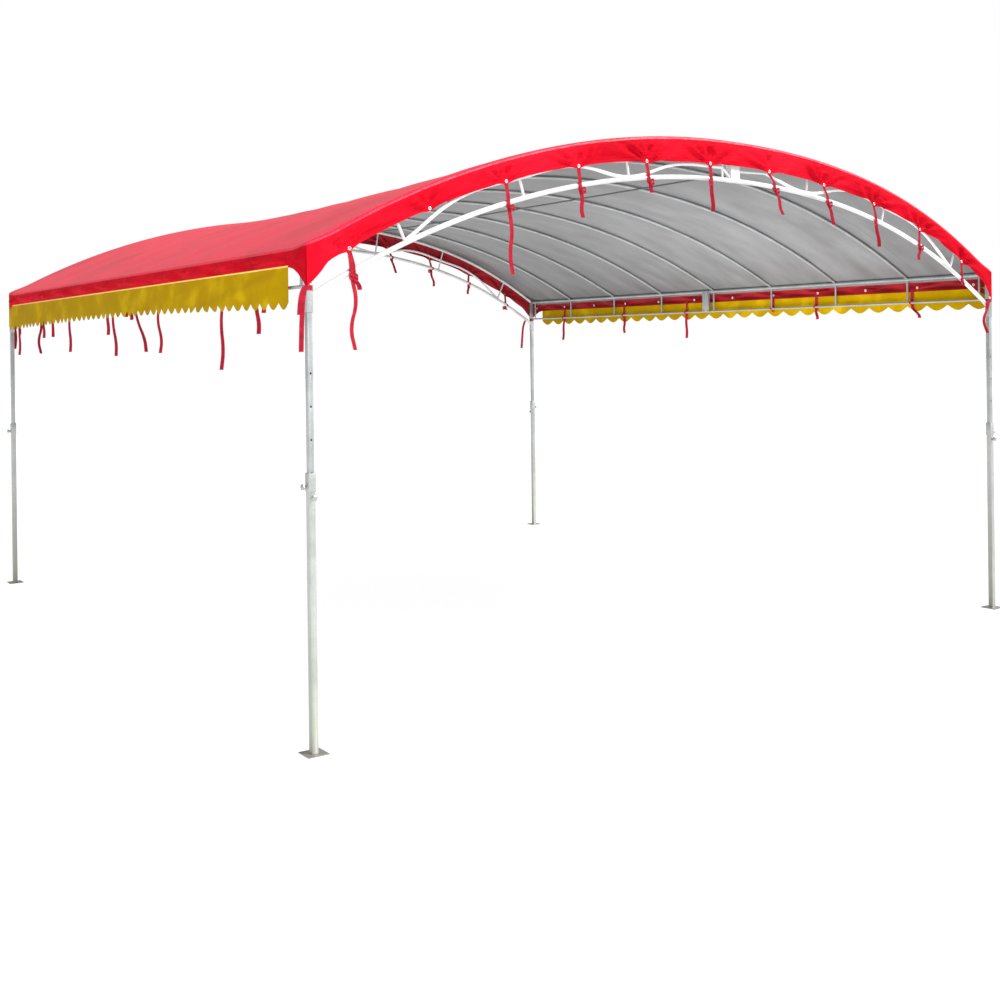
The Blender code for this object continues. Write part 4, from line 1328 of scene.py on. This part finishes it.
def drag_fold(along, below):
    """The long soft crease that runs slantwise down from the left valance's near upper corner."""
    off_line = along - DRAG_START_Y - DRAG_RUN * below
    return DRAG_DEPTH * np.exp(-((off_line / DRAG_WIDTH) ** 2))


def make_valance(name, node, side):
    """One valance, and its longest and its mean drop for the flat size."""
    low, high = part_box(node)
    piece = start_piece(name)
    columns = round((high.y - low.y) / SCALLOP_PITCH[side]) * SCALLOP_COLUMNS
    add_flat_grid(columns, VALANCE_ROWS)
    bpy.ops.object.mode_set(mode="OBJECT")
    cells = read_points(piece)
    along = low.y + (high.y - low.y) * cells[:, 0] / columns
    scallop = np.abs(np.sin(math.pi * cells[:, 0] / SCALLOP_COLUMNS))
    hem_z = valley_z(along, side) - SCALLOP_DEPTH[side] * scallop**SCALLOP_SHARPNESS
    top_z = band_bottom_z(along, side) + VALANCE_LAP
    down = 1 - cells[:, 1] / VALANCE_ROWS
    z = top_z + (hem_z - top_z) * down
    out = np.zeros_like(z)
    for depth, waves, start, lean in RIPPLES:
        swing = np.sin(2 * math.pi * waves * (along * side + lean * (top_z - z) * 0.1) + start)
        out += depth * (0.9 + swing) * smooth_step(down / 0.9)
    if side < 0:
        out += drag_fold(along, top_z - z) * smooth_step(down / 0.3)
    out *= smooth_step(np.minimum(along - low.y, high.y - along) / 0.15)
    inner_x = high.x if side < 0 else low.x
    x = inner_x + side * (VALANCE_LIFT + out)
    write_points(piece, np.stack([x, along, z], axis=1))
    write_map(piece, np.stack([along, top_z - z], axis=1))
    write_hem(piece, z - hem_z)
    if side > 0:
        piece.data.flip_normals()
    piece.data.materials.append(VALANCE_YELLOW)
    thicken(piece, 0.0010)
    return piece, float(np.max(top_z - hem_z)), float(np.mean(top_z - hem_z))


def tape_strip(name, node, side):
    """The bias tape along the valance's top: a flat bead, rounded by a bevel and laid along the seam."""
    low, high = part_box(node)
    piece = start_piece(name)
    inner_x = high.x if side < 0 else low.x
    near = inner_x + side * 0.0018
    far = inner_x + side * 0.0046
    add_block((min(near, far), low.y, -0.0065), (max(near, far), high.y, 0.0005), 0.0010)
    # The tape's bright colour is partly painted highlight.
    close_piece(piece, TAPE_WITH_HIGHLIGHT)
    points = read_points(piece)
    points[:, 2] += band_bottom_z(points[:, 1], side) + VALANCE_LAP
    write_points(piece, points)
    write_map(piece, points[:, 1:])
    return piece


for side_name, side in (("left", -1), ("right", 1)):
    node = f"{side_name}_valance"
    valance, drop, mean_drop = make_valance(node + "_cloth", node, side)
    keep(valance, ROOF, "yellow_valance_cloth", node)
    tape = tape_strip(node + "_tape", node, side)
    keep(tape, ROOF, "yellow_valance_cloth")
    print(valance.name, len(valance.data.polygons), "faces, drop", round(drop, 3), "and", round(mean_drop, 3))

# %% [markdown]
# Eyelets are pressed rings, rolled over both faces of the cloth. One torus is flattened along its
# axis, and each skirt gets a row of them in one piece. They sit on the hems, and one more in each
# corner tab. The valance is sewn over the eave bands' rings, so those show on the inner side only.

# %% Eyelets
RING_R = 0.0064
RING_T = 0.0030
BEHIND_CLOTH = 0.0020


def eyelet_row(name, places, across_axis, level_at):
    """A row of rings, each at (along, z), facing along X or Y at a given distance out."""
    piece = start_piece(name)
    for along, z in places:
        if across_axis == "Y":
            place = (along, level_at, z)
            direction = (0, 1, 0)
        else:
            place = (level_at, along, z)
            direction = (1, 0, 0)
        add_ring(place, direction, RING_R, RING_T, 24, 10)
        squash = (1, 0.55, 1) if across_axis == "Y" else (0.55, 1, 1)
        bpy.ops.transform.resize(value=squash, center_override=place)
    return close_piece(piece, EYELET)


TAB_PLACES = [(-TAB_EYELET_X, TAB_EYELET_Z), (TAB_EYELET_X, TAB_EYELET_Z)]
for end_name, end in (("front", -1), ("back", 1)):
    row = eyelet_row(f"{end_name}_flap_eyelets", FLAP_PLACES + TAB_PLACES, "Y", end * (FLAP_Y - CLOTH_T / 2))
    keep(row, ROOF, "galvanised_steel")
for side_name, side in (("left", -1), ("right", 1)):
    inner_x = side * (BAND_X - CLOTH_T - BEHIND_CLOTH)
    row = eyelet_row(f"{side_name}_band_eyelets", BAND_PLACES[side], "X", inner_x)
    keep(row, ROOF, "galvanised_steel")
print("eyelets:", 2 * (len(FLAP_PLACES) + 2 + BAND_EYELETS))

# %% [markdown]
# Each eyelet is tied to the steel behind it with a red strap. A tie is a flat strip all the way: it
# comes out of the eyelet, runs to the tube, goes round it, and hangs in a tail of its own length.
# The strip is drawn as a narrow grid and laid along a list of places with a width direction at each,
# and a short band round its neck is the knot. The tails' ends follow the real ones, one by one.

# %% Helpers for the ties
STRAP_W = 0.021
STRAP_T = 0.0008
KNOT_HALF = 0.011
KNOT_W = 0.018
LOOP_W = 0.016
LOOP_REACH = 0.030
STRAP_STEP = 0.009
WRAP_STEPS = 14


def resample(points, step):
    """Places at an even step along a bent line, smoothed at its corners."""
    points = np.asarray(points, dtype=float)
    for _ in range(2):
        cut = [points[0]]
        for near, far in zip(points, points[1:]):
            cut += [near * 0.75 + far * 0.25, near * 0.25 + far * 0.75]
        cut.append(points[-1])
        points = np.array(cut)
    lengths = np.concatenate([[0], np.cumsum(np.linalg.norm(np.diff(points, axis=0), axis=1))])
    count = max(4, round(lengths[-1] / step))
    even = np.linspace(0, lengths[-1], count + 1)
    return np.stack([np.interp(even, lengths, points[:, axis]) for axis in range(3)], axis=1), lengths[-1]


def strap_piece(name, strips):
    """One tie of flat strips, each as (places, width direction at the start, at the end, width)."""
    piece = start_piece(name)
    laid = []
    for layer, (places, first_way, last_way, width) in enumerate(strips):
        line, length = resample(places, STRAP_STEP)
        add_flat_grid(len(line) - 1, 2, layer)
        laid.append((line, length, Vector(first_way).normalized(), Vector(last_way).normalized(), width))
    bpy.ops.object.mode_set(mode="OBJECT")
    cells = np.rint(read_points(piece)).astype(int)
    made = np.zeros((len(cells), 3))
    flat = np.zeros((len(cells), 2))
    for layer, (line, length, first_way, last_way, width) in enumerate(laid):
        here = cells[:, 2] == layer
        step = cells[here, 0]
        share = step / (len(line) - 1)
        ways = np.outer(1 - share, first_way) + np.outer(share, last_way)
        ways /= np.linalg.norm(ways, axis=1)[:, None]
        offset = (cells[here, 1] - 1) * width / 2
        made[here] = line[step] + ways * offset[:, None]
        flat[here] = np.stack([share * length, offset], axis=1)
    write_points(piece, made)
    write_map(piece, flat)
    piece.data.materials.append(STRAP)
    thicken(piece, STRAP_T, offset=0.0)
    total = sum(length * width for _, length, _, _, width in laid)
    return piece, total / STRAP_W


def round_tube(centre, axis, radius, turns, start_angle):
    """Places round a tube that runs along X or Y, starting at an angle from straight out."""
    centre = Vector(centre)
    out = Vector((0, -1, 0)) if axis == "X" else Vector((-1, 0, 0))
    places = []
    for step in range(WRAP_STEPS + 1):
        angle = start_angle + turns * 2 * math.pi * step / WRAP_STEPS
        here = radius + 0.0012 * step / WRAP_STEPS
        places.append(centre + out * (here * math.cos(angle)) + Vector((0, 0, -here * math.sin(angle))))
    return places


print("strap width in mm:", STRAP_W * 1000)

# %% [markdown]
# At the gables the tube behind the flap is the lower chord. For each tie the list gives the eyelet,
# where the tail's end hangs, and how far it swings aside on the way. The back gable is out of sight,
# so it repeats the front one, mirrored along the ridge.

# %% Ties of the gable flaps
FLAP_TAILS = (
    (0, -2.215, 1.722, 0.020),
    (0, -2.190, 1.985, -0.006),
    (2, -1.366, 2.070, 0.012),
    (3, -0.936, 2.362, 0.006),
    (4, -0.479, 2.513, 0.004),
    (5, -0.046, 2.438, -0.006),
    (6, 0.496, 2.449, 0.010),
    (7, 0.923, 2.412, 0.004),
    (8, 1.323, 2.299, -0.008),
    (9, 1.701, 2.232, 0.006),
    (10, 2.142, 2.086, -0.004),
)


def flap_tie(name, index, tail_x, tail_z, swing, end):
    eyelet_x, eyelet_z = FLAP_PLACES[index]
    tube_x = eyelet_x * 0.6 + tail_x * 0.4
    tube_z = float(LOWER_ARC.z_at(tube_x) + shoulder_lift(tube_x))
    behind = FLAP_Y - CLOTH_T - 0.0022
    wrap_r = TUBE_R + STRAP_T
    slope = -tube_x / math.sqrt(LOWER_ARC.radius**2 - tube_x**2)
    places = [
        Vector((eyelet_x, -behind, eyelet_z + 0.003)),
        Vector((eyelet_x, -behind - 0.001, eyelet_z - 0.012)),
        Vector((eyelet_x * 0.8 + tube_x * 0.2, -behind, eyelet_z - 0.024)),
        Vector((tube_x, -POST_Y - wrap_r - 0.001, tube_z + 0.022)),
    ]
    places += round_tube((tube_x, -POST_Y, tube_z), "X", wrap_r, 1.0, 0.0)
    neck_z = tube_z - 0.020
    drop = neck_z - tail_z
    tail = [
        Vector((tube_x, -POST_Y - wrap_r - 0.002, neck_z)),
        Vector((tube_x * 0.6 + tail_x * 0.4 + swing, -POST_Y - 0.018, neck_z - drop * 0.35)),
        Vector((tube_x * 0.2 + tail_x * 0.8 - swing, -POST_Y - 0.014, neck_z - drop * 0.70)),
        Vector((tail_x, -POST_Y - 0.016, tail_z)),
    ]
    along_tube = Vector((1, 0, slope))
    knot = [
        Vector((tube_x - KNOT_HALF, -POST_Y - wrap_r - 0.001, neck_z + 0.006)),
        Vector((tube_x, -POST_Y - wrap_r - 0.010, neck_z + 0.001)),
        Vector((tube_x + KNOT_HALF, -POST_Y - wrap_r - 0.001, neck_z - 0.004)),
        Vector((tube_x, -POST_Y - wrap_r + 0.006, neck_z - 0.001)),
        Vector((tube_x - KNOT_HALF, -POST_Y - wrap_r - 0.001, neck_z + 0.006)),
    ]
    aside = math.copysign(LOOP_REACH, swing)
    bow = [
        Vector((tube_x, -POST_Y - wrap_r - 0.010, neck_z)),
        Vector((tube_x + 0.7 * aside, -POST_Y - wrap_r - 0.016, neck_z + 0.008)),
        Vector((tube_x + aside, -POST_Y - wrap_r - 0.012, neck_z - 0.010)),
        Vector((tube_x + 0.6 * aside, -POST_Y - wrap_r - 0.008, neck_z - 0.018)),
        Vector((tube_x, -POST_Y - wrap_r - 0.008, neck_z - 0.004)),
    ]
    strips = [
        (places + tail, along_tube, (1, 40 * swing - 0.6, 0), STRAP_W),
        (knot, (0, 0, 1), (0.3, 0, 1), KNOT_W),
        (bow, (0.3, 0, 1), (-0.3, 0, 1), LOOP_W),
    ]
    if end > 0:
        strips = [([Vector((p.x, -p.y, p.z)) for p in line], a, b, w) for line, a, b, w in strips]
    return strap_piece(name, strips)


for end_name, end in (("front", -1), ("back", 1)):
    for number, (index, tail_x, tail_z, swing) in enumerate(FLAP_TAILS):
        strap, length = flap_tie(f"{end_name}_flap_tie_{number}", index, tail_x, tail_z, swing, end)
        keep(strap, ROOF, "red_cover_cloth")
print("gable ties:", 2 * len(FLAP_TAILS))

# %% [markdown]
# Along the eaves the ties go round the lower rail, behind the valance, and their tails hang below
# it. Each is given by where it hangs along the eave, its end height and its swing. The two eaves
# have their own lists, because both can be seen.

# %% Ties of the eave bands
LEFT_TAILS = (
    (2.250, 2.250, 1.861, 0.004),
    (2.235, 2.262, 1.714, 0.012),
    (1.600, 1.600, 1.830, 0.006),
    (1.375, 1.372, 1.834, -0.006),
    (0.975, 0.975, 1.731, 0.010),
    (0.187, 0.187, 1.830, 0.004),
    (0.091, 0.044, 1.703, 0.012),
    (-0.147, -0.147, 1.929, 0.002),
    (-0.234, -0.240, 1.910, 0.004),
    (-0.304, -0.481, 1.725, 0.010),
    (-0.697, -0.705, 1.718, 0.026),
    (-1.591, -1.556, 1.633, 0.018),
    (-1.980, -2.000, 1.801, 0.006),
    (-2.057, -2.057, 1.896, 0.003),
)
RIGHT_TAILS = (
    (0.330, 0.330, 1.785, 0.008),
    (-0.630, -0.630, 1.990, 0.002),
    (-1.904, -1.967, 1.892, 0.010),
    (-1.057, -1.070, 1.905, 0.006),
    (1.130, 1.120, 1.840, -0.008),
    (1.990, 2.010, 1.790, 0.010),
)


def eave_tie(name, start_y, tail_y, tail_z, swing, side):
    wrap_r = LOWER_RAIL_R + STRAP_T
    x = POST_X
    places = [
        Vector((-BAND_X + CLOTH_T + 0.003, start_y, float(band_bottom_z(start_y, side)) + 0.020)),
        Vector((-x - 0.011, start_y, LOWER_RAIL_Z + 0.030)),
    ]
    places += round_tube((-x, start_y, LOWER_RAIL_Z), "Y", wrap_r, 1.0, 0.0)
    neck_z = LOWER_RAIL_Z - 0.016
    drop = neck_z - tail_z
    places += [
        Vector((-x - 0.009, start_y, neck_z)),
        Vector((-x - 0.010, start_y * 0.65 + tail_y * 0.35 + swing, neck_z - drop * 0.35)),
        Vector((-x - 0.005, start_y * 0.2 + tail_y * 0.8 - swing, neck_z - drop * 0.72)),
        Vector((-x - 0.007, tail_y, tail_z)),
    ]
    knot = [
        Vector((-x - wrap_r - 0.001, start_y - KNOT_HALF, neck_z)),
        Vector((-x - wrap_r - 0.004, start_y, neck_z + 0.001)),
        Vector((-x - wrap_r - 0.001, start_y + KNOT_HALF, neck_z)),
        Vector((-x - wrap_r + 0.008, start_y, neck_z - 0.001)),
        Vector((-x - wrap_r - 0.001, start_y - KNOT_HALF, neck_z)),
    ]
    strips = [
        (places, (0, 1, 0), (15 * swing - 0.9, 0.8, 0), STRAP_W),
        (knot, (0, 0, 1), (0, 0.3, 1), KNOT_W),
    ]
    if side > 0:
        strips = [([Vector((-p.x, p.y, p.z)) for p in line], a, b, w) for line, a, b, w in strips]
    return strap_piece(name, strips)


for side_name, side, tails in (("left", -1, LEFT_TAILS), ("right", 1, RIGHT_TAILS)):
    for number, (start_y, tail_y, tail_z, swing) in enumerate(tails):
        strap, length = eave_tie(f"{side_name}_eave_tie_{number}", start_y, tail_y, tail_z, swing, side)
        keep(strap, ROOF, "red_cover_cloth")
print("eave ties:", len(LEFT_TAILS) + len(RIGHT_TAILS))

# %% [markdown]
# The corner tabs are tied round the posts. The strip goes once round the square sleeve and ends in a
# long tail, with a second short one beside it.

# %% Ties round the posts
POST_TAILS = {
    ("front", "left"): ((-0.052, 1.874, 0.004), (-0.046, 1.717, 0.004)),
    ("front", "right"): ((-0.046, 1.940, 0.002), (-0.040, 1.781, -0.052)),
    ("back", "left"): ((0.020, 1.880, 0.004), (0.024, 1.760, 0.010)),
    ("back", "right"): ((-0.080, 1.941, 0.004), (-0.110, 1.717, 0.010)),
}
WRAP_Z = 1.990


def post_tie(name, end, side, tails):
    reach = POST_HALF + 0.0016
    x = side * POST_X
    y = end * POST_Y
    square = [(-1, -1), (1, -1), (1, 1), (-1, 1), (-1, -1), (1, -1)]
    wrap = []
    for (ax, ay), (bx, by) in zip(square, square[1:]):
        for share in (0.0, 0.33, 0.67):
            px = ax + (bx - ax) * share
            py = ay + (by - ay) * share
            wrap.append(Vector((x + px * reach, y + py * reach, WRAP_Z)))
    strips = [(wrap[:13], (0, 0, 1), (0, 0, 1), STRAP_W)]
    for offset, tail_z, swing in tails:
        drop = WRAP_Z - tail_z
        line = [
            Vector((x + offset * 0.5, y + end * (reach + 0.002), WRAP_Z + 0.006)),
            Vector((x + offset * 0.8, y + end * (reach + 0.004), WRAP_Z - drop * 0.2)),
            Vector((x + offset + swing, y + end * (reach + 0.002), WRAP_Z - drop * 0.6)),
            Vector((x + offset, y + end * (reach + 0.003), tail_z)),
        ]
        strips.append((line, (1, 0, 0), (1, -0.6, 0), STRAP_W))
    return strap_piece(name, strips)


for (end_name, side_name), tails in POST_TAILS.items():
    end = -1 if end_name == "front" else 1
    side = -1 if side_name == "left" else 1
    strap, length = post_tie(f"post_tie_{end_name}_{side_name}", end, side, tails)
    keep(strap, ROOF, "red_cover_cloth")
print("post ties:", len(POST_TAILS))

# %% [markdown]
# The canopy was photographed against plain white. The camera sees a white sky, but only part of its
# strength falls on the cloth, so that a sun from the front right can model the folds. The sun is
# kept off the floor by light linking, because a hard shadow there would draw the eye. A wide soft
# lamp low on the left lights the eave band, and a weak one under the roof brightens its right slope.

# %% Floor, sky and lamps
FLOOR_SIZE = 120.0
SKY_LIGHT = 0.60
SUN_FROM = Vector((0.58, -0.52, 0.63))
SUN_STRENGTH = 4.3
SUN_SPREAD = math.radians(14)
FILL_PLACE = Vector((-6.5, -8.0, 1.2))
FILL_TARGET = Vector((1.5, 0.5, 2.2))
FILL_POWER = 130.0
FILL_SIZE = 4.0
INSIDE_PLACE = Vector((0.9, -1.3, 0.5))
INSIDE_TARGET = Vector((2.1, -0.8, 2.4))
INSIDE_POWER = 24.0
INSIDE_SIZE = 1.6
LAMP_SPREAD = math.radians(110)
FLOOR_GLOW = 0.62


def studio_floor():
    finish, shader = new_finish("studio_floor", (0.90, 0.90, 0.90), 0.9)
    shader.inputs["Emission Color"].default_value = (1, 1, 1, 1)
    shader.inputs["Emission Strength"].default_value = FLOOR_GLOW
    return finish


bpy.ops.mesh.primitive_plane_add(size=FLOOR_SIZE, location=(0, 0, -0.0005))
floor = bpy.context.object
floor.name = "floor"
bpy.ops.object.transform_apply(location=True, rotation=True, scale=True)
floor.data.materials.append(studio_floor())

sky = bpy.data.worlds.new("white_sky")
sky.use_nodes = True
nodes = sky.node_tree.nodes
links = sky.node_tree.links
lit = nodes["Background"]
lit.inputs["Color"].default_value = (1, 1, 1, 1)
lit.inputs["Strength"].default_value = SKY_LIGHT
seen = nodes.new("ShaderNodeBackground")
seen.inputs["Color"].default_value = (1, 1, 1, 1)
rays = nodes.new("ShaderNodeLightPath")
choice = nodes.new("ShaderNodeMixShader")
links.new(rays.outputs["Is Camera Ray"], choice.inputs["Fac"])
links.new(lit.outputs["Background"], choice.inputs[1])
links.new(seen.outputs["Background"], choice.inputs[2])
links.new(choice.outputs["Shader"], nodes["World Output"].inputs["Surface"])
bpy.context.scene.world = sky

bpy.ops.object.light_add(type="SUN")
sun = bpy.context.object
sun.rotation_euler = SUN_FROM.to_track_quat("Z", "Y").to_euler()
sun.data.energy = SUN_STRENGTH
sun.data.angle = SUN_SPREAD
off_floor = bpy.data.collections.new("not_lit_by_the_sun")
off_floor.objects.link(floor)
off_floor.collection_objects[0].light_linking.link_state = "EXCLUDE"
sun.light_linking.receiver_collection = off_floor



def soft_lamp(place, target, power, size):
    """A square lamp that faces its target and stays out of the picture itself."""
    bpy.ops.object.light_add(type="AREA", location=place)
    lamp = bpy.context.object
    lamp.rotation_euler = (target - place).to_track_quat("-Z", "Y").to_euler()
    lamp.data.energy = power
    lamp.data.size = size
    lamp.data.spread = LAMP_SPREAD
    lamp.visible_camera = False
    lamp.visible_glossy = False


soft_lamp(FILL_PLACE, FILL_TARGET, FILL_POWER, FILL_SIZE)
soft_lamp(INSIDE_PLACE, INSIDE_TARGET, INSIDE_POWER, INSIDE_SIZE)
bpy.context.scene.view_settings.view_transform = "Standard"
print("stage and lamps ready")
